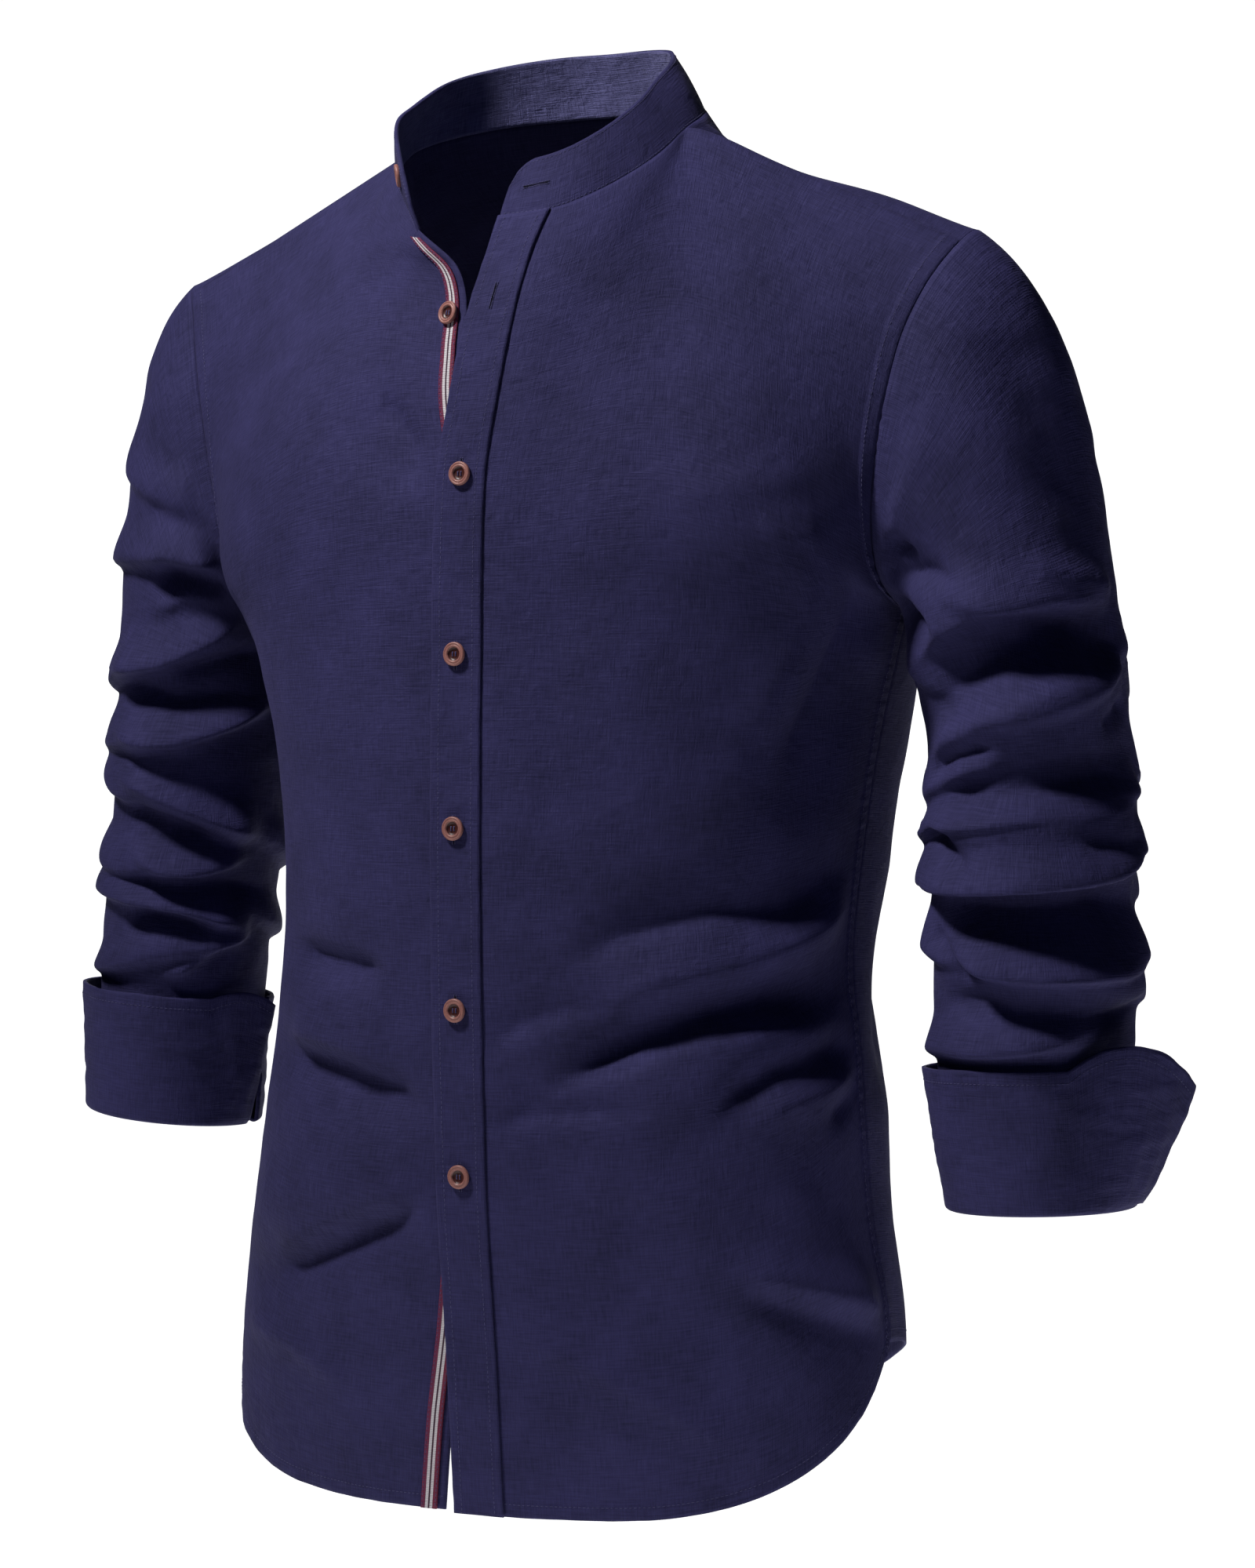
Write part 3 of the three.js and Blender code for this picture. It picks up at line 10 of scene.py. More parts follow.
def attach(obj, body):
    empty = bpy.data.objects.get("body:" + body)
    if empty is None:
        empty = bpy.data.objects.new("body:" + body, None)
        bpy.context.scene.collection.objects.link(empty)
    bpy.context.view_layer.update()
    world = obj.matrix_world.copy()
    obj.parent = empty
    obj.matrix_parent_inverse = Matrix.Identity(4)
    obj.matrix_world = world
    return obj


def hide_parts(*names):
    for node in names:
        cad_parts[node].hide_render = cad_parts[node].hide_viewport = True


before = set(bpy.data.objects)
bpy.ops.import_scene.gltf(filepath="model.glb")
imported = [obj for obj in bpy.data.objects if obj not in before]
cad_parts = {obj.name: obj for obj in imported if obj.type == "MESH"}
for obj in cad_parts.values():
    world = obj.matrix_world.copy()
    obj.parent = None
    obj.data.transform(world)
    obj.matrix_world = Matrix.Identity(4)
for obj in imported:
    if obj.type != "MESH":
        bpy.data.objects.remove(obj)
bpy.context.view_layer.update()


# The left front: one cut panel of navy slubbed cotton, soft and a little creased. It is sewn to the
# yoke, the left sleeve, the back and the collar band, and its centre edge carries the placket.
# The sizes are in millimetres and are made metres as each mesh is built.
MM = 0.001
ARMPIT = -265.0
FRONT_HEM = -750.0
SIDE_HEM = -660.0
HEM_SHARPNESS = {1: 3.9, -1: 4.0}
NECK_GAP = 0.35
LAP_STEP = 3.1
LAP_FLAT = 34.0
LAP_FADED = 75.0
PLACKET_WIDTH = 30.0
CLOTH_WALL = 1.2
SECTION_STEPS = 64
BODY_POWER = 2 / 2.3
SIDE_ROUND = 260.0
FRONT_YOKE_TURN = 0.478
BACK_YOKE_TURN = 0.64
SEAM_WIDTH = 9.0
SEAM_RISE = 0.7
PUCKER = 0.45
PUCKER_LENGTH = 6.3
CREASE_GAIN = 2.6
NECK_PULL_FADE = 0.35
EDGE_FADE_LOW = 1.5
EDGE_FADE_TOP = 30
EDGE_FADE_TURN = 7
JOIN_REACH = 0.07
JOIN_ROUNDS = 40
CORNER_ROUNDS = 160
NECK_RIDGE = {"x": 98, "y": 10, "wide": 26, "deep": 24, "up": 6.5, "from": 81, "over": 9}
FRONT_INSIDE = (0, 30, -60)


def table(columns, *rows):
    """Rows of numbers as named columns."""
    return {name: np.array(values, float) for name, values in zip(columns.split(), zip(*rows))}


BODY = table(
    "height middle half front side back",
    (-760, -3, 201, -94, 9, 120),
    (-657, -3, 195, -103, 11, 127),
    (-588, -3, 184.5, -109, 12, 135),
    (-518, -1, 176, -112, 15, 147),
    (-455, 0, 168, -114, 18, 156),
    (-396, 0, 170, -115, 27, 172),
    (-344, 0, 177, -115, 30, 180),
    (-265, 0, 199, -114, 22, 170),
)
LEFT_EDGE_ABOVE = table(
    "height x y",
    (-265, -14, -114),
    (-231, -13, -114.5),
    (-190, -11, -113),
    (-165, -7.5, -110.5),
    (-130, -3, -105),
    (-97, 2, -97),
    (-58, 9, -87),
)
LEFT_EDGE_BELOW = table("height x", (-760, -8.5), (-640, -9.5), (-580, -11), (-500, -14), (-265, -14))
ARMHOLE = table(
    "turn x y z outX outY outZ",
    (-0.12, 201, 78, -232, 0.75, 0.2, -0.6),
    (-0.06, 199, 53, -256, 0.75, 0.1, -0.65),
    (0, 199, 22, -265, 0.8, 0, -0.6),
    (0.06, 199, -3, -261, 0.75, -0.1, -0.65),
    (0.12, 200, -23, -247, 0.75, -0.15, -0.6),
    (0.18, 202, -33, -222, 0.87, -0.05, -0.45),
    (0.25, 206, -36, -188, 0.95, -0.02, -0.3),
    (0.32, 212, -33, -152, 0.94, -0.06, -0.3),
    (0.38, 219, -27, -122, 0.9, -0.12, -0.36),
    (0.44, 230, -14, -93, 0.86, -0.06, -0.5),
    (0.5, 243, 6, -70, 0.82, 0.02, -0.57),
    (0.56, 241, 32, -74, 0.83, 0.1, -0.55),
    (0.64, 231, 61, -100, 0.87, 0.2, -0.43),
    (0.72, 216, 82, -143, 0.9, 0.25, -0.37),
    (0.8, 206, 88, -190, 0.87, 0.25, -0.45),
    (0.88, 201, 78, -232, 0.75, 0.2, -0.6),
    (0.94, 199, 53, -256, 0.75, 0.1, -0.65),
    (1, 199, 22, -265, 0.8, 0, -0.6),
    (1.06, 199, -3, -261, 0.75, -0.1, -0.65),
)
COLLAR = table(
    "part x y z topX topY topZ",
    (0, 9, -87, -58, 14, -75, -28),
    (0.07, 37, -84, -56, 36, -70, -23),
    (0.15, 61, -67, -44, 54, -54, -10),
    (0.23, 78, -40, -25, 63, -30, 8),
    (0.3, 82.5, -12, -6, 61, -5, 24),
    (0.36, 79.5, 14, 5, 58, 18, 37),
    (0.44, 62.5, 48, 15, 45, 44, 48),
    (0.51, 32, 69, 20, 23, 60, 53),
    (0.57, 0, 75.5, 21, -5, 65, 54),
    (0.63, -35, 69, 20, -37, 60, 53.5),
    (0.7, -69, 48, 15, -66, 44, 48),
    (0.78, -90, 14, 4, -84, 17, 37),
    (0.85, -92, -14, -7, -88, -12, 21),
    (0.93, -82, -42, -26, -82.5, -44, 3),
    (1, -46, -80, -61, -54, -84, -30),
)
# Soft folds of the body, between two places given as the way round from the centre front and the height
BODY_FOLDS = table(
    "round0 height0 round1 height1 out wide",
    (240, -468, 80, -514, -6, 24),
    (250, -492, 90, -536, 4, 26),
    (232, -300, 190, -380, -5, 30),
    (-150, -455, -62, -462, -4, 24),
    (-178, -500, -30, -540, -4, 24),
    (-190, -642, -40, -590, -4, 26),
    (-180, -610, -50, -560, 4, 30),
    (262, -640, 120, -615, 4, 30),
    (-60, -160, -26, -200, -3, 24),
    (360, -420, 300, -520, -6, 30),
    (470, -400, 380, -470, -6, 32),
    (-470, -400, -380, -470, -6, 32),
    (-300, -430, -360, -520, -6, 30),
)
# Creases of the body: where each runs, how far its crest stands out (or in), how wide its upper slope is
# and how wide the steeper one under it
BODY_CREASES = [
    ([(250, -402), (200, -428), (150, -428), (100, -440), (60, -460)], -3.6, 20, 9),
    ([(262, -420), (210, -442), (170, -456), (120, -466), (70, -482)], 3.2, 12, 14),
    ([(232, -476), (180, -477), (145, -481), (110, -496), (80, -510), (46, -523)], -4.8, 16, 7),
    ([(240, -488), (190, -492), (140, -500), (100, -514), (70, -524)], 2.4, 6, 20),
    ([(262, -500), (220, -506), (185, -512), (160, -524), (145, -536)], -4.2, 12, 8),
    ([(262, -512), (225, -522), (190, -530), (160, -545)], 2.2, 6, 18),
    ([(120, -532), (80, -533), (45, -536), (18, -543)], -1.7, 10, 5),
    ([(110, -477), (70, -479), (40, -487), (16, -502)], -2.0, 14, 7),
    ([(285, -515), (250, -528), (215, -541)], -2.4, 10, 8),
    ([(-150, -452), (-95, -457), (-50, -463)], -2.6, 6, 12),
    ([(-154, -507), (-89, -515), (-45, -525), (-19, -541)], -3.0, 6, 14),
    ([(-150, -498), (-90, -503), (-50, -512)], 1.8, 12, 6),
    ([(-147, -622), (-80, -596), (-17, -573)], 2.4, 16, 6),
    ([(-145, -635), (-80, -611), (-17, -586)], -2.2, 6, 12),
    ([(150, -612), (205, -628), (263, -645)], 2.4, 18, 7),
    ([(150, -626), (205, -643), (255, -660)], -1.8, 6, 12),
    ([(24, -648), (90, -676), (164, -714)], 1.4, 12, 6),
    ([(-41, -150), (-28, -168), (-15, -187)], -1.6, 6, 8),
    ([(212, -200), (160, -209), (112, -215)], 0.8, 14, 8),
    ([(212, -232), (190, -232), (165, -231)], 0.8, 10, 8),
    ([(183, -362), (205, -300), (224, -246)], -3.2, 12, 14),
    ([(160, -350), (178, -290), (190, -240)], 1.8, 14, 14),
    ([(70, -560), (150, -590), (230, -600)], 1.2, 16, 12),
    ([(-230, -380), (-200, -330), (-190, -270)], -2.4, 12, 12),
    ([(-60, -690), (-120, -668), (-180, -660)], 1.2, 14, 8),
]


def curve(rows, key, column, at):
    """A table's value in one column, on a smooth curve through its rows."""
    knots, values = rows[key], rows[column]
    rise = np.diff(values) / np.diff(knots)
    slope = np.concatenate([rise[:1], (rise[:-1] + rise[1:]) / 2, rise[-1:]])
    forward = np.sign(knots[1] - knots[0])
    row = np.clip(np.searchsorted(forward * knots, forward * np.asarray(at, float)) - 1, 0, len(knots) - 2)
    span = knots[row + 1] - knots[row]
    t = (at - knots[row]) / span
    return (
        (2 * t**3 - 3 * t**2 + 1) * values[row] + (t**3 - 2 * t**2 + t) * span * slope[row]
        + (3 * t**2 - 2 * t**3) * values[row + 1] + (t**3 - t**2) * span * slope[row + 1]
    )


def smooth(value):
    t = np.clip(value, 0, 1)
    return t * t * (3 - 2 * t)


def mix(a, b, share):
    return a + (b - a) * share


def places(*axes):
    """Arrays of x, y and z as one array of places."""
    return np.stack(np.broadcast_arrays(*axes), -1).astype(float)


def unit(vectors):
    return vectors / np.maximum(np.linalg.norm(vectors, axis=-1, keepdims=True), 1e-9)


def hermite(start, leave, end, arrive, t):
    """A smooth path between two places that leaves and arrives along the given vectors."""
    t = t[..., None]
    return (
        (2 * t**3 - 3 * t**2 + 1) * start + (t**3 - 2 * t**2 + t) * leave
        + (3 * t**2 - 2 * t**3) * end + (t**3 - t**2) * arrive
    )


def body(share, height, back, hand):
    """Places on level sections of the body, at a share of the way from the centre line to the side,
    and the whole length of that way."""
    share, height = np.broadcast_arrays(np.asarray(share, float), np.asarray(height, float))
    column = lambda name: curve(BODY, "height", name, height)[..., None]
    angle = np.linspace(0, math.pi / 2, SECTION_STEPS + 1)
    across = column("half") * np.sin(angle) ** BODY_POWER
    depth = mix(column("side"), column("back" if back else "front"), np.cos(angle).clip(0) ** BODY_POWER)
    step = np.hypot(np.diff(across, axis=-1), np.diff(depth, axis=-1))
    run = np.concatenate([np.zeros_like(step[..., :1]), np.cumsum(step, axis=-1)], -1)
    target = np.minimum(np.abs(share), 1) * run[..., -1]
    k = np.clip((run < target[..., None]).sum(-1), 1, SECTION_STEPS)[..., None]
    take = lambda values, at: np.take_along_axis(values, at, -1)[..., 0]
    within = (target - take(run, k - 1)) / (take(run, k) - take(run, k - 1))
    x = mix(take(across, k - 1), take(across, k), within) * hand * np.where(share < 0, -1, 1)
    y = mix(take(depth, k - 1), take(depth, k), within)
    return places(curve(BODY, "height", "middle", height) + x, y, height), run[..., -1]


def armhole(turn, hand):
    """Places on the armhole seam and the way the sleeve's cloth leaves it, by the turn from the armpit."""
    z = curve(ARMHOLE, "turn", "z", turn)
    spread = 7 * smooth((z - ARMPIT) / 150) if hand < 0 else 0
    out = [curve(ARMHOLE, "turn", name, turn) for name in ("outX", "outY", "outZ")]
    at = places(hand * (curve(ARMHOLE, "turn", "x", turn) + spread), curve(ARMHOLE, "turn", "y", turn), z)
    return at, unit(places(hand * out[0], out[1], out[2]))


def neck(part):
    x, y, z = (curve(COLLAR, "part", name, part) for name in "xyz")
    return places(x, y, z - NECK_GAP)


def shoulder(share, hand):
    """Places on the front shoulder seam, from the neck to the armhole."""
    start = neck(np.array(0.3 if hand > 0 else 0.85))
    end = armhole(np.array(FRONT_YOKE_TURN), hand)[0]
    at = mix(start, end, np.asarray(share)[..., None])
    at[..., 2] += (2 if hand > 0 else 0) * np.sin(math.pi * np.clip(share, 0, 1))
    return at


SECTION_HEIGHTS = np.linspace(-765, ARMPIT, 120)
SECTION_LENGTHS = body(0, SECTION_HEIGHTS, False, 1)[1]


def front(side, a, row):
    """Places on a front before its folds: a runs from its centre edge to the side seam, and row from
    the hem through the armpit level at 1 to the neck and shoulder at 2."""
    hand = side["hand"]
    a, row = np.broadcast_arrays(np.asarray(a, float), np.asarray(row, float))

    def edge(height):
        length = np.interp(height, SECTION_HEIGHTS, SECTION_LENGTHS)
        return hand * curve(side["below"], "height", "x", height) / length

    hem_share = mix(edge(FRONT_HEM), 1, a)
    sharpness = np.where(hand * hem_share > 0, HEM_SHARPNESS[1], HEM_SHARPNESS[-1])
    hem = mix(FRONT_HEM, SIDE_HEM, np.abs(hem_share) ** sharpness)
    height = mix(hem, ARMPIT, np.clip(row, 0, 1))
    low, _ = body(mix(edge(height), 1, a), height, False, hand)

    edge_share = edge(ARMPIT)
    first = side["first"] / SECTION_LENGTHS[-1] / (1 - edge_share)
    neck_share = first + (1 - first) * 3 / 8
    b = np.clip(row - 1, 0, 1)

    def upward(a):
        base_share = mix(edge_share, 1, a)
        base, _ = body(base_share, ARMPIT, False, hand)
        under, _ = body(base_share, ARMPIT - 6, False, hand)
        at_neck = neck(mix(side["neck"], side["neck_end"], np.clip(a / neck_share, 0, 1)))
        at_shoulder = shoulder(np.clip((a - neck_share) / (1 - neck_share), 0, 1), hand)
        top = np.where((a < neck_share)[..., None], at_neck, at_shoulder)
        reach = np.linalg.norm(top - base, axis=-1)[..., None]
        to_neck = smooth(1.5 * a / neck_share) * (1 - smooth((a - neck_share) / NECK_PULL_FADE))
        arrive = places(-hand * 0.3 * to_neck, mix(0.45, 0.72, smooth(a * 1.6)), 0.75) * reach
        return hermite(base, unit(base - under) * reach, top, arrive, b)

    edge_height = mix(side["above"]["height"][-1] - NECK_GAP, ARMPIT, (1 - b) ** side["ease"])
    edge_x, edge_y = (curve(side["above"], "height", name, edge_height) for name in "xy")
    high = upward(a)
    fade = (1 - a) ** mix(EDGE_FADE_LOW, EDGE_FADE_TOP, b**EDGE_FADE_TURN)
    high += (places(edge_x, edge_y, edge_height) - upward(a * 0)) * fade[..., None]
    seam, _ = armhole(FRONT_YOKE_TURN * b, hand)
    high += (seam - upward(a * 0 + 1)) * (a**1.5)[..., None]
    return np.where((row <= 1)[..., None], low, high), edge_share, neck_share


def eased(points, row, centre, reach, rounds):
    """The grid smoothed along its columns near one row value, so that two stretches run into each other."""
    weight = 0.5 * np.exp(-(((row - centre) / reach) ** 2))[..., None]
    weight[0] = weight[-1] = 0
    for _ in range(rounds):
        average = (points[:, :-2] + points[:, 2:]) / 2
        points[:, 1:-1] += weight[:, 1:-1] * (average - points[:, 1:-1])
    return points


def normals_of(points, inside, closed=False):
    """The normal at each place of a grid of cloth, turned away from what the cloth wraps."""
    across = np.roll(points, -1, 0) - np.roll(points, 1, 0) if closed else np.gradient(points, axis=0)
    normals = unit(np.cross(across, np.gradient(points, axis=1)))
    return normals * (1 if np.sum(normals * (points - inside)) > 0 else -1)


def folds(x, y):
    """How far the body's soft folds move its cloth at a way round and a height."""
    move = np.zeros_like(x)
    for x0, y0, x1, y1, out, wide in zip(*BODY_FOLDS.values()):
        length = math.hypot(x1 - x0, y1 - y0)
        along = ((x - x0) * (x1 - x0) + (y - y0) * (y1 - y0)) / length**2
        aside = ((x - x0) * (y1 - y0) - (y - y0) * (x1 - x0)) / length
        fade = smooth((along + 0.15) / 0.4) * smooth((1.15 - along) / 0.4)
        move += out * fade * np.exp(-2 * (aside / wide) ** 2)
    return move


def creases(strokes, x, y):
    """How far creases move the cloth: each runs along its points, with a long slope above its crest and
    a steep one under it, and fades out at its ends."""
    move = np.zeros_like(x)
    for points, out, upper, lower in strokes:
        nearest = np.full_like(x, 1e9)
        aside = np.zeros_like(x)
        covered = np.zeros_like(x)
        total = 0
        forward = np.sign(points[-1][0] - points[0][0])
        for (x0, y0), (x1, y1) in zip(points, points[1:]):
            length = math.hypot(x1 - x0, y1 - y0)
            t = np.clip(((x - x0) * (x1 - x0) + (y - y0) * (y1 - y0)) / length**2, 0, 1)
            away = np.hypot(x - mix(x0, x1, t), y - mix(y0, y1, t))
            above = forward * np.sign((y - y0) * (x1 - x0) - (x - x0) * (y1 - y0))
            nearer = away < nearest
            nearest = np.where(nearer, away, nearest)
            aside = np.where(nearer, above * away, aside)
            covered = np.where(nearer, total + t * length, covered)
            total += length
        fade = smooth(covered / (0.26 * total)) * smooth((total - covered) / (0.26 * total))
        move += out * mix(0.15, 1, fade) * np.exp(-((nearest / np.where(aside > 0, upper, lower)) ** 1.5))
    return move


def crumple(points, size, seed):
    """Soft unevenness of worn cloth: noise from -1 to 1 at places, with waves about as long as size."""
    flat = points.reshape(-1, 3) / size + seed
    values = [noise.noise(Vector(place)) for place in flat]
    return np.array(values).reshape(points.shape[:-1])


def neck_rise(grid):
    """The cloth lifted a little where the left shoulder's ridge meets the collar."""
    x, y = grid[..., 0], grid[..., 1]
    ridge = NECK_RIDGE
    bump = np.exp(-(((x - ridge["x"]) / ridge["wide"]) ** 2) - ((y - ridge["y"]) / ridge["deep"]) ** 2)
    grid[..., 2] += ridge["up"] * bump * smooth((x - ridge["from"]) / ridge["over"])
    return grid


def new_object(name, mesh_builder, material):
    """A mesh object at the origin from a bmesh, with smooth faces."""
    for face in mesh_builder.faces:
        face.smooth = True
    mesh = bpy.data.meshes.new(name)
    mesh_builder.to_mesh(mesh)
    mesh_builder.free()
    mesh.materials.append(material)
    made = bpy.data.objects.new(name, mesh)
    bpy.context.scene.collection.objects.link(made)
    return made


def cloth(name, points, inside, material, wall=CLOTH_WALL, closed=False, facing=None):
    """A sheet of cloth through a grid of places, with a UV map in metres and its thickness inwards."""
    outward = np.sum(normals_of(points, inside, closed) * np.cross(
        np.gradient(points, axis=0), np.gradient(points, axis=1))) > 0
    if closed:
        points = np.concatenate([points, points[:1]])
    columns, rows = points.shape[:2]
    u = np.append(0, np.cumsum(np.linalg.norm(np.diff(points, axis=0), axis=-1).mean(1))) * MM
    v = np.append(0, np.cumsum(np.linalg.norm(np.diff(points, axis=1), axis=-1).mean(0))) * MM
    sheet = bmesh.new()
    bmesh.ops.create_grid(sheet, x_segments=columns - 1, y_segments=rows - 1, size=1)
    sheet.verts.index_update()
    uv = sheet.loops.layers.uv.new("UVMap")
    for vert in sheet.verts:
        j, i = divmod(vert.index, columns)
        vert.co = points[i, j] * MM
    for face in sheet.faces:
        for loop in face.loops:
            j, i = divmod(loop.vert.index, columns)
            loop[uv].uv = (u[i], v[j])
    if closed:
        ends = [vert for vert in sheet.verts if vert.index % columns in (0, columns - 1)]
        bmesh.ops.remove_doubles(sheet, verts=ends, dist=1e-6)
    if not outward:
        bmesh.ops.reverse_faces(sheet, faces=sheet.faces[:])
    made = new_object(name, sheet, material)
    solid = made.modifiers.new("thickness", "SOLIDIFY")
    solid.thickness = wall * MM
    solid.offset = -1
    if facing:
        made.data.materials.append(facing)
        solid.material_offset = 1
    return made


def node(tree, kind, **settings):
    """A shader node with its properties and unlinked inputs set; a link is given as another node's output."""
    made = tree.nodes.new(kind)
    for key, value in settings.items():
        if hasattr(made, key):
            setattr(made, key, value)
            continue
        socket = made.inputs[int(key[1:])] if key[1:].isdigit() else made.inputs[key.replace("_", " ")]
        if isinstance(value, bpy.types.NodeSocket):
            tree.links.new(value, socket)
        else:
            socket.default_value = value
    return made


def woven_group():
    """Slubbed plain weave: streaks along both threads, blotches of dye and fine crumpling."""
    group = bpy.data.node_groups.new("woven_cotton", "ShaderNodeTree")
    for name in ("Lit", "Deep"):
        group.interface.new_socket(name, in_out="INPUT", socket_type="NodeSocketColor")
    group.interface.new_socket("Color", in_out="OUTPUT", socket_type="NodeSocketColor")
    group.interface.new_socket("Roughness", in_out="OUTPUT", socket_type="NodeSocketFloat")
    group.interface.new_socket("Height", in_out="OUTPUT", socket_type="NodeSocketFloat")
    given = group.nodes.new("NodeGroupInput")
    result = group.nodes.new("NodeGroupOutput")
    at = node(group, "ShaderNodeTexCoord")
    streaks = []
    for scale in ((70, 1100, 1), (1300, 90, 1)):
        turned = node(group, "ShaderNodeMapping", Vector=at.outputs["UV"], Scale=scale)
        streaks.append(node(group, "ShaderNodeTexNoise", Vector=turned.outputs[0], Scale=1.0, Detail=2.0))
    weave = node(group, "ShaderNodeMath", operation="ADD", _0=streaks[0].outputs[0], _1=streaks[1].outputs[0])
    threads = []
    for direction in ("X", "Y"):
        threads.append(node(group, "ShaderNodeTexWave", Vector=at.outputs["UV"], bands_direction=direction,
                            Scale=420.0, Distortion=1.5, Detail=1.0))
    thread = node(group, "ShaderNodeMath", operation="MULTIPLY", _0=threads[0].outputs["Fac"],
                  _1=threads[1].outputs["Fac"])
    blotch = node(group, "ShaderNodeTexNoise", Vector=at.outputs["Object"], Scale=26.0, Detail=5.0)
    crumpled = node(group, "ShaderNodeTexNoise", Vector=at.outputs["Object"], Scale=150.0, Detail=4.0,
                    Distortion=0.6)
    tone = node(group, "ShaderNodeMath", operation="MULTIPLY_ADD", _0=weave.outputs[0], _1=0.9,
                _2=blotch.outputs[0])
    shade = node(group, "ShaderNodeMapRange", Value=tone.outputs[0], From_Min=1.0, From_Max=1.8)
    colour = node(group, "ShaderNodeMix", data_type="RGBA")
    group.links.new(shade.outputs[0], colour.inputs["Factor"])
    group.links.new(given.outputs["Deep"], colour.inputs[6])
    group.links.new(given.outputs["Lit"], colour.inputs[7])
    rough = node(group, "ShaderNodeMapRange", Value=weave.outputs[0], From_Min=0.6, From_Max=1.4,
                 To_Min=0.9, To_Max=0.74)
    bumps = node(group, "ShaderNodeMath", operation="MULTIPLY_ADD", _0=weave.outputs[0], _1=0.35,
                 _2=crumpled.outputs[0])
    height = node(group, "ShaderNodeMath", operation="MULTIPLY_ADD", _0=thread.outputs[0], _1=0.12,
                  _2=bumps.outputs[0])
    group.links.new(colour.outputs[2], result.inputs["Color"])
    group.links.new(rough.outputs[0], result.inputs["Roughness"])
    group.links.new(height.outputs[0], result.inputs["Height"])
    return group


WOVEN = woven_group()


def cloth_material(name, lit, deep, sheen, tint, bump):
    """A material of the woven group with its own colours, sheen and relief."""
    made = bpy.data.materials.new(name)
    made.use_nodes = True
    tree = made.node_tree
    shader = tree.nodes["Principled BSDF"]
    woven = tree.nodes.new("ShaderNodeGroup")
    woven.node_tree = WOVEN
    woven.inputs["Lit"].default_value = lit
    woven.inputs["Deep"].default_value = deep
    relief = node(tree, "ShaderNodeBump", Strength=bump, Distance=0.0016, Height=woven.outputs["Height"])
    tree.links.new(woven.outputs["Color"], shader.inputs["Base Color"])
    tree.links.new(woven.outputs["Roughness"], shader.inputs["Roughness"])
    tree.links.new(relief.outputs[0], shader.inputs["Normal"])
    shader.inputs["Sheen Weight"].default_value = sheen
    shader.inputs["Sheen Roughness"].default_value = 0.45
    shader.inputs["Sheen Tint"].default_value = tint
    shader.inputs["Specular IOR Level"].default_value = 0.25
    return made


NAVY = cloth_material("navy_cotton", (0.040, 0.036, 0.132, 1), (0.017, 0.0155, 0.062, 1), 0.05,
                      (0.45, 0.4, 0.9, 1), 0.6)
LEFT = {
    "hand": 1, "below": LEFT_EDGE_BELOW, "above": LEFT_EDGE_ABOVE, "ease": 1.0, "first": 30.0,
    "neck": 0.0, "neck_end": 0.3, "lap": True,
}


def front_grid(side, across, rows):
    """A front with its folds: the grid and its normals."""
    hand = side["hand"]
    a = across[:, None]
    row = rows[None, :]
    grid, edge_share, neck_share = front(side, a, row)
    row = np.broadcast_to(row, grid.shape[:2])
    a = np.broadcast_to(a, grid.shape[:2])
    grid = eased(grid, row, 1, JOIN_REACH, JOIN_ROUNDS)
    near_neck = np.exp(-(((a - neck_share) / 0.16) ** 2))
    corner = 0.5 * near_neck * smooth((row - 1.1) / 0.3) * smooth((1.97 - row) / 0.2)
    for _ in range(CORNER_ROUNDS):
        grid[1:-1] += corner[1:-1, :, None] * ((grid[:-2] + grid[2:]) / 2 - grid[1:-1])
    grid = neck_rise(grid)
    inside = grid * (0, 0, 1) + FRONT_INSIDE
    normals = normals_of(grid, inside)
    around = hand * mix(edge_share, 1, a) * SIDE_ROUND
    height = grid[..., 2]
    b = np.clip(row - 1, 0, 1)
    fade = (1 - smooth(b * 1.1)) * np.where(row > 1, 1 - a**12, 1)
    from_edge = hand * (grid[..., 0] - grid[:1, :, 0])
    lapped = 1 - smooth((from_edge - LAP_FLAT) / (LAP_FADED - LAP_FLAT)) if side["lap"] else 0
    move = folds(around, height) * fade + LAP_STEP * lapped * (1 - smooth((height + 120) / 55))
    quiet = smooth((1 - a) / 0.12) * smooth((2 - row) / 0.1) * mix(0.15, 1, smooth((from_edge - 22) / 20))
    move += CREASE_GAIN * creases(BODY_CREASES, around, height) * quiet
    move += (0.8 * crumple(grid, 45, 3) + 0.35 * crumple(grid, 16, 7)) * quiet
    move += 0.5 * crumple(grid * (1, 1, 2.2), 9, 5) * smooth((-640 - height) / 60) * quiet
    to_side = np.linalg.norm(np.diff(grid, axis=0), axis=-1)[::-1].cumsum(0)[::-1]
    to_side = np.concatenate([to_side, to_side[-1:] * 0])
    band = smooth((SEAM_WIDTH + 1 - to_side) / 2)
    pucker = np.sin(height / PUCKER_LENGTH * 2 * math.pi + 3 * crumple(grid, 30, 11))
    move += band * (SEAM_RISE + PUCKER * pucker) * smooth(to_side / 2)
    grid = grid + normals * move[..., None]
    return grid, normals_of(grid, inside)


FRONT_ACROSS = np.concatenate([np.linspace(0, 0.93, 86), np.linspace(0.93, 1, 21)[1:]])
FRONT_ROWS = np.concatenate([np.linspace(0, 1, 170), np.linspace(1, 2, 71)[1:]])
LEFT_GRID, LEFT_NORMALS = front_grid(LEFT, FRONT_ACROSS, FRONT_ROWS)


def declare(made, name):
    """Hides the frame's part that a cloth piece stands for and hangs the piece on the root body."""
    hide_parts(name)
    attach(made, "root")


left_front = cloth("front_left_cloth", LEFT_GRID, LEFT_GRID * (0, 0, 1) + FRONT_INSIDE, NAVY)
declare(left_front, "front_left")


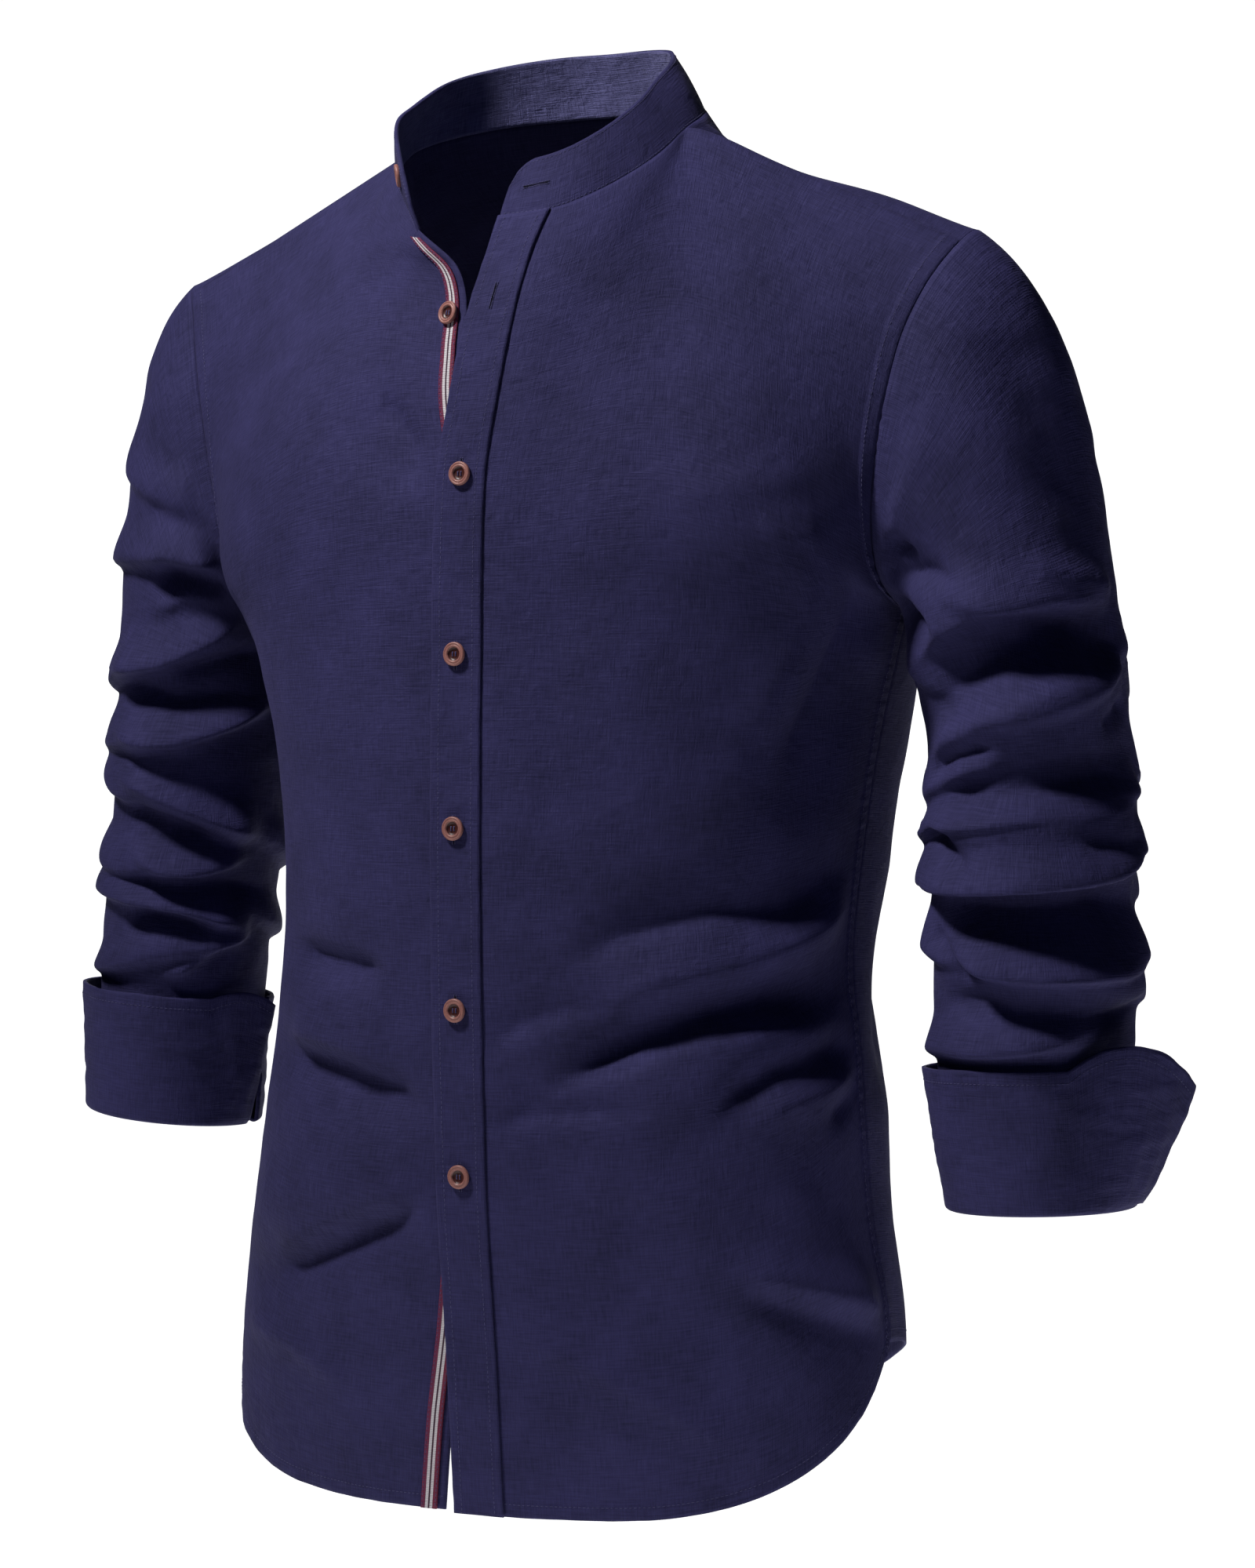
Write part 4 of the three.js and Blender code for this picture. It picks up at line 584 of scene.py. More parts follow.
# The right front: the same cotton, with its centre edge turned back at the open neck. Its facing tape is
# sewn on behind the left front's edge.
RIGHT_EDGE_ABOVE = table(
    "height x y",
    (-265, 13, -114),
    (-200, 7, -111),
    (-156, -3, -106),
    (-131, -5, -101.5),
    (-99, -8, -94),
    (-84, -15, -92),
    (-72, -29, -90),
    (-61, -46, -80),
)
RIGHT_EDGE_BELOW = table("height x", (-760, -18), (-700, -10), (-650, -1), (-600, 6), (-540, 12), (-265, 13))
RIGHT = {
    "hand": -1, "below": RIGHT_EDGE_BELOW, "above": RIGHT_EDGE_ABOVE, "ease": 1.6, "first": 25.0,
    "neck": 1.0, "neck_end": 0.85, "lap": False,
}
RIGHT_GRID, RIGHT_NORMALS = front_grid(RIGHT, FRONT_ACROSS, FRONT_ROWS)
right_front = cloth("front_right_cloth", RIGHT_GRID, RIGHT_GRID * (0, 0, 1) + FRONT_INSIDE, NAVY)
declare(right_front, "front_right")


# The back: one panel of the same cotton, hanging from the yoke's seam. It doesn't show in the
# photograph, so it carries only a few soft folds.
BACK_HEM = -744.0
BACK_INSIDE = (0, 30, 0)
YOKE_SEAM = table(
    "part x y z",
    (0, 0, 155, -86),
    (0.35, 82, 147, -88),
    (0.7, 168, 110, -95),
    (1, 231, 61, -100),
)
YOKE_DOWN = np.array((0, 0.32, -0.95))


def yoke_seam(place):
    """Places on the yoke's back seam, from -1 at the right armhole to 1 at the left one."""
    x, y, z = (curve(YOKE_SEAM, "part", name, np.abs(place)) for name in "xyz")
    return places(np.sign(place) * x, y, z)


def back_grid(across, rows):
    """The back with its folds, from the hem to the yoke's seam."""
    place, row = np.broadcast_arrays(across[:, None], rows[None, :])
    share = np.abs(place)
    hand = np.where(place < 0, -1, 1)
    b = np.clip(row - 1, 0, 1)
    hem = mix(SIDE_HEM, BACK_HEM, (1 + np.cos(math.pi * share)) / 2)
    low, _ = body(share, mix(hem, ARMPIT, np.clip(row, 0, 1)), True, 1)
    middle = lambda at: at * np.stack([hand, hand**2, hand**2], -1)

    def upward(share):
        base, _ = body(share, ARMPIT, True, 1)
        under, _ = body(share, ARMPIT - 6, True, 1)
        top = yoke_seam(share)
        reach = np.linalg.norm(top - base, axis=-1)[..., None]
        return hermite(base, unit(base - under) * reach, top, -YOKE_DOWN * reach, b)

    turn = mix(1, BACK_YOKE_TURN, b)
    seam = np.where((hand > 0)[..., None], armhole(turn, 1)[0], armhole(turn, -1)[0])
    high = middle(upward(share)) + (seam - middle(upward(share * 0 + 1))) * (share**2)[..., None]
    section_middle = curve(BODY, "height", "middle", low[..., 2])
    low[..., 0] = (low[..., 0] - section_middle) * hand + section_middle
    grid = eased(np.where((row <= 1)[..., None], low, high), row, 1, JOIN_REACH, JOIN_ROUNDS)
    inside = grid * (0, 0, 1) + BACK_INSIDE
    normals = normals_of(grid, inside)
    around = hand * (2 - share) * SIDE_ROUND
    quiet = smooth((1 - share) / 0.1) * smooth((2 - row) / 0.1)
    move = folds(around, grid[..., 2]) * mix(1 - smooth(b * 1.2), 0, np.where(row > 1, share**12, 0))
    move += (1.2 * crumple(grid, 50, 13) + 0.4 * crumple(grid, 17, 17)) * quiet
    return grid + normals * move[..., None]


BACK_ROWS = np.concatenate([np.linspace(0, 1, 130), np.linspace(1, 2, 51)[1:]])
BACK_GRID = back_grid(np.linspace(-1, 1, 121), BACK_ROWS)
back = cloth("back_cloth", BACK_GRID, BACK_GRID * (0, 0, 1) + BACK_INSIDE, NAVY)
declare(back, "back")


# The yoke: a shaped panel of the same cotton over both shoulders, from the back's top seam to the neck
# and the front shoulder seams.
SHOULDER_OVER = np.array((0, 0.62, 0.78))
NECK_OVER = np.array((0, -0.6, 0.8))
YOKE_SHOULDER = 5 / 11
YOKE_RISE = {1: 9, -1: 3}
YOKE_NECK = {1: 0.3, -1: 0.85}


def yoke_grid(across, rows):
    """The yoke, from its back seam over the shoulders to the neck and the front seams."""
    place, b = np.broadcast_arrays(across[:, None], rows[None, :])
    share = np.abs(place)
    hand = np.where(place < 0, -1, 1)
    on_neck = 1 - YOKE_SHOULDER
    part = mix(YOKE_NECK[-1], YOKE_NECK[1], (np.clip(place, -on_neck, on_neck) + on_neck) / (2 * on_neck))
    out = np.clip((share - on_neck) / YOKE_SHOULDER, 0, 1)
    at_shoulder = np.where((hand > 0)[..., None], shoulder(out, 1), shoulder(out, -1))
    end = np.where((share < on_neck)[..., None], neck(part), at_shoulder)
    start = yoke_seam(place)
    reach = np.linalg.norm(end - start, axis=-1)[..., None]
    toward_neck = smooth((1 - share) * 2.2)
    arrive = mix(-SHOULDER_OVER, NECK_OVER, toward_neck[..., None]) + places(-hand * 0.35 * toward_neck, 0, 0)
    grid = hermite(start, -YOKE_DOWN * reach, end, arrive * reach, b)
    over = smooth((share - 0.32) / 0.15) * smooth((1 - share) / 0.5) * np.where(hand > 0, YOKE_RISE[1], YOKE_RISE[-1])
    grid[..., 2] += over * np.sin(math.pi * b)
    turn = mix(BACK_YOKE_TURN, FRONT_YOKE_TURN, b)
    seam = np.where((hand > 0)[..., None], armhole(turn, 1)[0], armhole(turn, -1)[0])
    return neck_rise(mix(grid, seam, (smooth((share - 0.86) / 0.14) ** 2)[..., None]))


YOKE_GRID = yoke_grid(np.linspace(-1, 1, 133), np.linspace(0, 1, 41))
yoke = cloth("yoke_cloth", YOKE_GRID, places(0, 40, YOKE_GRID[..., 2] - 90), NAVY)
declare(yoke, "yoke")


# The placket: a folded strip of the same cotton, 30 mm wide, top-stitched down the left front's edge.
PLACKET_WALL = 1.2
PLACKET_CRUMPLE = 0.45
SEAM_GAP = 0.3


def strip(grid, normals, start, end, lift, count, last_row=None):
    """Places over a front between two distances from its centre edge, lifted off it."""
    run = np.linalg.norm(np.diff(grid, axis=0), axis=-1).cumsum(0)
    run = np.concatenate([run[:1] * 0, run])
    lines = []
    for distance in np.linspace(start, end, count):
        line = [
            [np.interp(distance, run[:, j], values[:, j, axis]) for axis in range(3)]
            for values in (grid, normals) for j in range(grid.shape[1])
        ]
        line = np.array(line).reshape(2, -1, 3)[:, :last_row]
        lines.append(line[0] + unit(line[1]) * lift)
    return np.array(lines)


PLACKET_GRID = strip(LEFT_GRID, LEFT_NORMALS, 0, PLACKET_WIDTH, SEAM_GAP + PLACKET_WALL, 19)
PLACKET_NORMALS = normals_of(PLACKET_GRID, PLACKET_GRID * (0, 0, 1) + FRONT_INSIDE)
PLACKET_GRID += PLACKET_NORMALS * (PLACKET_CRUMPLE * crumple(PLACKET_GRID * (0.6, 1, 1), 8, 19))[..., None]
placket = cloth("placket_cloth", PLACKET_GRID, PLACKET_GRID * (0, 0, 1) + FRONT_INSIDE, NAVY, PLACKET_WALL)
declare(placket, "placket")


# The facing tape: a woven burgundy tape with two white stripes, 10 mm wide, top-stitched along the right
# front's edge, where it shows in the open neck and at the hem.
TAPE_STRIPES = (
    (0.0, (0.19, 0.008, 0.05, 1)),
    (0.27, (0.75, 0.7, 0.72, 1)),
    (0.44, (0.05, 0.006, 0.03, 1)),
    (0.55, (0.75, 0.7, 0.72, 1)),
    (0.73, (0.17, 0.008, 0.06, 1)),
)
TAPE_WALL = 1.0
TAPE_WIDTH = 10.0
TAPE_INSET = 5


def tape_material():
    """Burgundy with white stripes across the tape's width, ribbed by its weft."""
    made = bpy.data.materials.new("striped_tape")
    made.use_nodes = True
    tree = made.node_tree
    shader = tree.nodes["Principled BSDF"]
    at = node(tree, "ShaderNodeTexCoord")
    across = node(tree, "ShaderNodeSeparateXYZ", Vector=at.outputs["UV"])
    share = node(tree, "ShaderNodeMath", operation="DIVIDE", _0=across.outputs[0], _1=TAPE_WIDTH * MM)
    ramp = node(tree, "ShaderNodeValToRGB", Fac=share.outputs[0])
    ramp.color_ramp.interpolation = "CONSTANT"
    for place, colour in TAPE_STRIPES[1:-1]:
        ramp.color_ramp.elements.new(place)
    for element, (place, colour) in zip(ramp.color_ramp.elements, TAPE_STRIPES):
        element.position = place
        element.color = colour
    ramp.color_ramp.elements[-1].position = TAPE_STRIPES[-1][0]
    ribs = node(tree, "ShaderNodeTexWave", Vector=at.outputs["UV"], bands_direction="Y", Scale=320.0,
                Distortion=1.0)
    darker = node(tree, "ShaderNodeMix", data_type="RGBA", blend_type="MULTIPLY")
    tree.links.new(ribs.outputs["Fac"], darker.inputs["Factor"])
    tree.links.new(ramp.outputs[0], darker.inputs[6])
    darker.inputs[7].default_value = (0.72, 0.72, 0.75, 1)
    relief = node(tree, "ShaderNodeBump", Strength=0.6, Distance=0.0003, Height=ribs.outputs["Fac"])
    tree.links.new(darker.outputs[2], shader.inputs["Base Color"])
    tree.links.new(relief.outputs[0], shader.inputs["Normal"])
    shader.inputs["Roughness"].default_value = 0.7
    return made


TAPE_ENDS = (TAPE_INSET, TAPE_INSET + TAPE_WIDTH)
TAPE_GRID = strip(RIGHT_GRID, RIGHT_NORMALS, *TAPE_ENDS, SEAM_GAP + TAPE_WALL, 9, -7)
tape = cloth("tape_cloth", TAPE_GRID, TAPE_GRID * (0, 0, 1) + FRONT_INSIDE, tape_material(), TAPE_WALL)
declare(tape, "tape")


# The sleeves: each one panel of the same cotton set into its armhole and closed along the arm, pushed up
# into many folds above its turned-back cuff.
LEFT_ARM = table(
    "height x y wide deep",
    (-285, 255, 36, 55, 66),
    (-345, 264, 34, 52, 63),
    (-420, 269, 28, 52, 61),
    (-500, 270, 27, 51, 59),
    (-530, 270, 27, 48, 55),
    (-590, 267, 26, 40, 46),
)
RIGHT_ARM = table(
    "height x y wide deep",
    (-285, 252, 34, 54, 65),
    (-345, 257, 32, 49, 62),
    (-420, 266, 28, 46.5, 57),
    (-475, 271, 27, 46, 54),
    (-510, 273, 27, 44, 52),
    (-570, 276, 26, 40, 46),
)
# Rolls of pushed-up cloth: the crest's height at the inner side, front and outer side, how far it stands
# out, how tall it is and the turns between which it shows
LEFT_ROLLS = table(
    "inner front outer out tall start end",
    (-250, -262, -278, 8, 19, 0.2, 0.5),
    (-283, -321, -303, 6, 20, 0.05, 0.62),
    (-368, -352, -338, 7, 15, 0.02, 0.3),
    (-386, -374, -364, 8, 15, 0, 0.6),
    (-406, -411, -398, 9, 17, 0, 0.6),
    (-437, -453, -450, 10, 19, 0, 0.62),
    (-503, -494, -474, 8, 18, 0, 0.6),
    (-300, -318, -300, 7, 22, 0.55, 1.02),
    (-352, -366, -346, 8, 20, 0.52, 1.05),
    (-404, -412, -420, 8, 19, 0.55, 1.05),
    (-452, -466, -470, 8, 18, 0.52, 1.05),
)
RIGHT_ROLLS = table(
    "inner front outer out tall start end",
    (-218, -200, -166, 6, 17, 0.12, 0.5),
    (-236, -229, -224, 9, 19, 0.1, 0.6),
    (-272, -288, -300, 8, 19, 0.05, 0.6),
    (-312, -333, -327, 9, 18, 0, 0.6),
    (-388, -370, -342, 9, 18, 0, 0.6),
    (-398, -408, -390, 8, 15, 0.03, 0.58),
    (-438, -425, -416, 8, 15, 0, 0.6),
    (-446, -461, -476, 8, 16, 0, 0.55),
    (-304, -312, -296, 7, 22, 0.55, 1.02),
    (-350, -360, -348, 8, 20, 0.52, 1.05),
    (-396, -408, -402, 8, 19, 0.55, 1.05),
    (-440, -450, -446, 7, 16, 0.52, 1.05),
)
# Sharper creases on those rolls, by turn and height
LEFT_CREASES = [
    ([(0.12, -300), (0.17, -291), (0.22, -281), (0.31, -268), (0.38, -263), (0.45, -263),
      (0.51, -270)], 5, 22, 6),
    ([(0.13, -327), (0.2, -314), (0.28, -301), (0.36, -289), (0.44, -283), (0.5, -281)], -7.5, 18, 18),
    ([(0.53, -297), (0.45, -301), (0.38, -308), (0.32, -317), (0.26, -327), (0.19, -337),
      (0.11, -350)], 5.5, 8, 24),
    ([(0.42, -302), (0.47, -292), (0.51, -285)], -3.5, 6, 5),
    ([(0.28, -340), (0.2, -347), (0.12, -357)], -4.5, 7, 7),
    ([(0.44, -332), (0.49, -325), (0.52, -316)], -2.5, 8, 8),
    ([(0.12, -376), (0.2, -371), (0.3, -367), (0.4, -362), (0.54, -355)], -5.5, 15, 6),
    ([(0.11, -382), (0.26, -378), (0.37, -376), (0.46, -372), (0.56, -367)], 4, 5, 24),
    ([(0.11, -385), (0.18, -394), (0.245, -405)], -4.5, 7, 6),
    ([(0.38, -388), (0.46, -389), (0.53, -386)], -3, 7, 7),
    ([(0.09, -410), (0.24, -411), (0.33, -409), (0.39, -407), (0.48, -402), (0.55, -397)], 5, 20, 5),
    ([(0.13, -422), (0.22, -431), (0.3, -432), (0.4, -430), (0.54, -424)], -7, 14, 16),
    ([(0.14, -438), (0.22, -450), (0.3, -456), (0.42, -457), (0.55, -452)], 4.5, 7, 14),
    ([(0.11, -434), (0.18, -450), (0.235, -465)], -4.5, 7, 6),
    ([(0.141, -474), (0.3, -482), (0.442, -482), (0.53, -476)], -5.5, 13, 8),
    ([(0.141, -505), (0.274, -500), (0.396, -489), (0.539, -477)], 3.5, 7, 9),
    ([(0.31, -120), (0.26, -165), (0.21, -205), (0.17, -235)], 3.2, 9, 16),
    ([(0.27, -120), (0.22, -165), (0.17, -205), (0.14, -228)], -2.6, 14, 8),
    ([(0.2, -242), (0.14, -236), (0.08, -238)], -5.5, 6, 7),
    ([(0.26, -255), (0.19, -252), (0.11, -252)], -3.8, 8, 6),
    ([(0.2, -284), (0.14, -273), (0.08, -267)], -5.5, 6, 8),
    ([(0.35, -245), (0.42, -250), (0.51, -256)], 2.6, 8, 8),
    ([(0.42, -120), (0.44, -180), (0.44, -232)], -1.8, 16, 16),
]
RIGHT_CREASES = [
    ([(0.292, -170), (0.252, -191), (0.199, -204), (0.132, -217)], 3.5, 12, 7),
    ([(0.299, -227), (0.234, -226), (0.19, -231), (0.109, -236)], 4, 14, 5),
    ([(0.27, -240), (0.19, -244), (0.109, -250)], -3.5, 7, 9),
    ([(0.258, -262), (0.199, -252), (0.12, -256)], 2.5, 9, 6),
    ([(0.09, -260), (0.15, -274), (0.223, -289), (0.35, -291)], 4, 14, 6),
    ([(0.216, -300), (0.12, -290), (0.05, -284)], -3, 7, 8),
    ([(0.05, -307), (0.203, -314), (0.342, -301)], -3, 7, 8),
    ([(0.34, -325), (0.184, -335), (0.048, -314)], 4, 12, 6),
    ([(0.33, -350), (0.238, -359), (0.142, -374), (0.052, -386), (0.01, -392)], 4.5, 16, 6),
    ([(0.3, -370), (0.2, -380), (0.1, -394)], -3.5, 6, 8),
    ([(0.271, -395), (0.19, -407), (0.128, -410), (0.03, -401)], 3.5, 9, 5),
    ([(0.3, -413), (0.204, -421), (-0.017, -424)], -3.5, 5, 7),
    ([(0.3, -424), (0.216, -427), (0.148, -431), (0.041, -439)], 3, 6, 5),
    ([(0.278, -437), (0.18, -440), (0.088, -445)], -3, 5, 6),
    ([(0.005, -445), (0.086, -452), (0.145, -467), (0.199, -474)], 3, 9, 5),
]
LEFT_CUFF = {
    "x": 268.0, "y": 27.0, "top": -510.0, "fold": -585.0, "tilt": 0.02, "fold_tilt": 0.02, "shift": 6.0,
    "top_wide": 57.0, "top_deep": 63.0, "fold_wide": 50.0, "fold_deep": 56.0,
    "start": 0.58, "end": 1.54, "wing": 35.0, "wing_turn": 0.17, "wing_lift": 16.0,
}
RIGHT_CUFF = {
    "x": 275.5, "y": 27.0, "top": -482.0, "fold": -556.0, "tilt": 0.1, "fold_tilt": 0.12, "shift": 3.0,
    "top_wide": 54.0, "top_deep": 60.0, "fold_wide": 50.0, "fold_deep": 56.0,
    "start": 0.95, "end": -0.01, "wing": 15.0, "wing_turn": 0.1, "wing_lift": 6.0,
}
BICEPS = -285.0
CUFF_LIP = 13.0
CUFF_FOLD_RADIUS = 3.25
CUFF_WALL = 2.2
ARM_GIRTH = 360.0
ROLL_SHARE = 0.85
SLEEVE_CREASE_GAIN = 2.2


def arm(rows, turn, height, hand):
    """Places round a sleeve before its folds."""
    angle = 2 * math.pi * turn
    x = curve(rows, "height", "x", height) - curve(rows, "height", "wide", height) * np.cos(angle)
    y = curve(rows, "height", "y", height) - curve(rows, "height", "deep", height) * np.sin(angle)
    return places(hand * x, y, height)


def cuff_ring(cuff, turn, share, hand, shrink):
    """Places on a cuff's outer face, from its top edge (0) to its fold (1)."""
    angle = 2 * math.pi * turn
    outward = -(mix(cuff["top_wide"], cuff["fold_wide"], share) - shrink) * np.cos(angle)
    deep = mix(cuff["top_deep"], cuff["fold_deep"], share) - shrink
    height = mix(cuff["top"] + cuff["tilt"] * outward, cuff["fold"] + cuff["fold_tilt"] * outward, share)
    x = cuff["x"] + cuff["shift"] * share + outward
    return places(hand * x, cuff["y"] - deep * np.sin(angle), height)


def rolls(rows, turn, height):
    """How far the rolls of pushed-up cloth stand out."""
    move = np.zeros_like(height)
    for inner, front_height, outer, out, tall, start, end in zip(*rows.values()):
        middle = 0.25 if (start + end) / 2 < 0.5 else 0.75
        t = middle + (turn - middle - np.round(turn - middle))
        way = 1 if middle < 0.5 else -1
        place = np.clip((t - middle) / 0.2 * way, -1.3, 1.3)
        bow = (outer + inner) / 2 - front_height
        crest = front_height + (outer - inner) / 2 * place + bow * place**2
        off = (height - crest) / tall
        reach = np.where(off > 0, 1.3, 0.65)
        shape = np.where(np.abs(off) < reach, (1 + np.cos(math.pi * off / reach)) / 2, 0)
        move += out * shape * smooth((t - start) / 0.1) * smooth((end - t) / 0.1)
    return move


def sleeve_grid(hand, rows, cuff, roll_rows, strokes, turns, cap_rows, arm_rows):
    """A sleeve with its folds, from the armhole seam over the sleeve head and down to its cuff's lip."""
    turn = turns[:, None]
    seam, out = armhole(turn, hand)
    biceps = arm(rows, turn, BICEPS + turn * 0, hand)
    reach = np.linalg.norm(seam - biceps, axis=-1)[..., None]
    middle_x = lambda height: hand * curve(rows, "height", "x", height)
    middle_y = lambda height: curve(rows, "height", "y", height)
    below = np.array(BICEPS - 5)
    down = unit(places(middle_x(below) - middle_x(BICEPS), middle_y(below) - middle_y(BICEPS), -5.0))
    t = np.linspace(0, 1, cap_rows + 1)[None, :-1] + turn * 0
    cap = hermite(seam, out * reach * 0.9, biceps, down * reach * 1.1, t)
    lip_share = 1 - CUFF_LIP / (cuff["top"] - cuff["fold"])
    end = cuff_ring(cuff, turn, lip_share, hand, 2 * CUFF_FOLD_RADIUS - CUFF_WALL + SEAM_GAP)
    end[..., 2] += SEAM_GAP
    s = np.linspace(0, 1, arm_rows + 1)[None, :] + turn * 0
    lower = arm(rows, turn + s * 0, mix(BICEPS, end[..., 2], s), hand)
    lower = mix(lower, end, smooth((s - 0.82) / 0.18)[..., None])
    grid = np.concatenate([cap, lower], axis=1)
    step = np.concatenate([9 * t, 9 + 24 * s], axis=1)
    turn = turn + step * 0
    height = grid[..., 2]
    level = np.minimum(height, BICEPS)
    outward = unit(places(grid[..., 0] - middle_x(level), grid[..., 1] - middle_y(level), 0))
    ring_top = cuff_ring(cuff, turn, 0, hand, 0)[..., 2]
    clear = smooth((step - 1) / 4) * smooth((height - ring_top - 3) / 12)
    wrapped = turn - np.round(turn - 0.25)
    scaled = [([(x * ARM_GIRTH, y) for x, y in points], *sizes) for points, *sizes in strokes]
    sharp = SLEEVE_CREASE_GAIN * creases(scaled, wrapped * ARM_GIRTH, height) * smooth((step - 0.5) / 2)
    fold = rolls(roll_rows, turn, height) * ROLL_SHARE + sharp
    fold += (1.1 * crumple(grid * (1, 1, 1.6), 34, 23) + 0.4 * crumple(grid, 13, 29)) * smooth(step / 3)
    fold *= smooth((height - ring_top - 3) / 12) * mix(clear, 1, smooth((step - 0.5) / 2))
    return grid + outward * fold[..., None] + places(0, 0, -0.45 * fold)


SLEEVE_TURNS = np.linspace(0, 1, 133)[:-1]
for label, hand, rows, cuff, roll_rows, strokes in (
    ("left", 1, LEFT_ARM, LEFT_CUFF, LEFT_ROLLS, LEFT_CREASES),
    ("right", -1, RIGHT_ARM, RIGHT_CUFF, RIGHT_ROLLS, RIGHT_CREASES),
):
    grid = sleeve_grid(hand, rows, cuff, roll_rows, strokes, SLEEVE_TURNS, 60, 190)
    axis = places(hand * curve(rows, "height", "x", np.minimum(grid[..., 2], BICEPS)), 30, grid[..., 2])
    made = cloth(f"sleeve_{label}_cloth", grid, axis, NAVY, closed=True)
    declare(made, f"sleeve_{label}")


# The turned-back cuffs: each a strip of doubled cotton round the arm, folded up over the sleeve's end,
# with its last stretch standing away from the arm. One row of stitches runs below its top edge.
def cuff_grid(hand, cuff, columns):
    """A turned-back cuff: down its outer face, round its fold and up to the lip inside."""
    height = cuff["top"] - cuff["fold"]
    bend = 1 - CUFF_FOLD_RADIUS / height
    span = cuff["end"] - cuff["start"]
    way = np.sign(span)
    shares = np.concatenate([np.linspace(0, bend, 40), np.full(9, bend), [1 - CUFF_LIP / height]])
    angles = np.concatenate([np.zeros(40), np.linspace(0, math.pi, 10)[1:], [math.pi]])
    inward = CUFF_FOLD_RADIUS * (1 - np.cos(angles))[None, :]
    drop = -CUFF_FOLD_RADIUS * np.sin(angles)[None, :]
    turn = mix(cuff["start"], cuff["end"], np.linspace(0, 1, columns))[:, None] + shares[None, :] * 0
    share = shares[None, :] + turn * 0
    along = np.maximum(1 - (cuff["end"] - turn) / (way * cuff["wing_turn"]), 0)
    in_wing = smooth(along)
    wing = np.where(angles > 0, 0, (1 - shares).clip(0) ** 0.8)[None, :]
    lift = cuff["wing_lift"] * (np.sin(0.9 * math.pi * along) - 0.9 * along**2)
    grid = cuff_ring(cuff, turn, share, hand, inward)
    centre = places(hand * cuff["x"] + turn * 0, cuff["y"], grid[..., 2])
    swept = cuff_ring(cuff, turn - way * cuff["wing_turn"] * in_wing * 0.45, share, hand, 0)
    out = unit((swept - centre) * (1, 1, 0))
    grid = grid + out * (cuff["wing"] * in_wing * wing)[..., None]
    grid[..., 2] += drop + lift * wing
    ripple = np.sin(turn * 2 * math.pi * 26 + 4 * crumple(grid, 40, 31)) * mix(0.1, 1.1, in_wing)
    puckers = crumple(grid * (0.3, 0.3, 1.3), 7, 37) * 0.7 + crumple(grid, 24, 41) * 0.9
    outer = np.where(angles > 0, 0, smooth((bend - shares) / 0.15) * smooth(shares / 0.03 + 0.3))[None, :]
    return grid + out * ((ripple * 0.5 + puckers) * outer)[..., None]


cuff_grids = {}
for label, hand, cuff in (("left", 1, LEFT_CUFF), ("right", -1, RIGHT_CUFF)):
    grid = cuff_grid(hand, cuff, 181)
    cuff_grids[label] = grid
    inner_radius = cuff["fold_wide"] - CUFF_FOLD_RADIUS
    centre = places(hand * cuff["x"] + grid[..., 0] * 0, cuff["y"], cuff["fold"] + CUFF_LIP)
    ring = centre + unit((grid - centre) * (1, 1, 0)) * inner_radius
    made = cloth(f"cuff_{label}_cloth", grid, ring, NAVY, CUFF_WALL)
    declare(made, f"cuff_{label}")


# The collar band: a standing strip of doubled cotton with rounded upper corners, sewn round the neck. Its
# inner face is the same cotton, mottled, and painted paler as painted light from above that falls into the collar.
COLLAR_WALL = 2.2
COLLAR_CORNER = 15.0
COLLAR_LENGTH = 430.0
SEAM_LAP = 1.2


def collar_grid(columns, rows):
    """The collar band, from its seam to its top edge, with its corners rounded off."""
    part = np.linspace(0, 1, columns)
    base = neck(part) - (0, 0, SEAM_LAP)
    top = places(*(curve(COLLAR, "part", name, part) for name in ("topX", "topY", "topZ")))
    cut = np.maximum(COLLAR_CORNER - np.minimum(part, 1 - part) * COLLAR_LENGTH, 0)
    lost = COLLAR_CORNER - np.sqrt(COLLAR_CORNER**2 - cut**2)
    full = 1 - lost / np.linalg.norm(top - base, axis=-1)
    share = np.linspace(0, 1, rows)[None, :] * full[:, None]
    grid = mix(base[:, None], top[:, None], share[..., None])
    out = normals_of(grid, grid * (0, 0, 1))
    belly = 0.9 * np.sin(math.pi * share) + 0.3 * crumple(grid, 18, 43)
    return grid + out * (belly * smooth(share / 0.1))[..., None]


COLLAR_GRID = collar_grid(181, 21)
# The inner face's paler colours are painted light: the same cotton made lighter where light from above falls into the
# collar.
PAINTED_LIGHT_FACING = cloth_material("collar_facing_painted_light", (0.15, 0.147, 0.34, 1), (0.042, 0.04, 0.11, 1), 0.3,
                        (0.6, 0.6, 1, 1), 0.8)
collar = cloth("collar_band_cloth", COLLAR_GRID, COLLAR_GRID * (0, 0, 1), NAVY, COLLAR_WALL, facing=PAINTED_LIGHT_FACING)
declare(collar, "collar_band")


# The buttons: turned wood of 12.7 mm with a double rim and a dished, darker middle with four holes,
# sewn on with dark thread. One more sits on the tape at the open neck and one on the collar's end.
BUTTON_RADIUS = 6.35
DISH_SHARE = 0.56
HOLE_SPREAD = 0.9
HOLE_RADIUS = 0.5
HOLE_HEIGHT = 0.215
THREAD_HEIGHT = 0.25
THREAD_SHAPE = (0.6, 2.6, 0.5, 1)
BUTTON_PROFILE = (
    (0.0, 0.20), (0.30, 0.19), (0.50, 0.22), (0.56, 0.30), (0.62, 0.40), (0.70, 0.43), (0.76, 0.38),
    (0.80, 0.37), (0.86, 0.42), (0.93, 0.42), (1.0, 0.32), (1.0, 0.16), (0.9, 0.04), (0.8, 0.0), (0.0, 0.0),
)


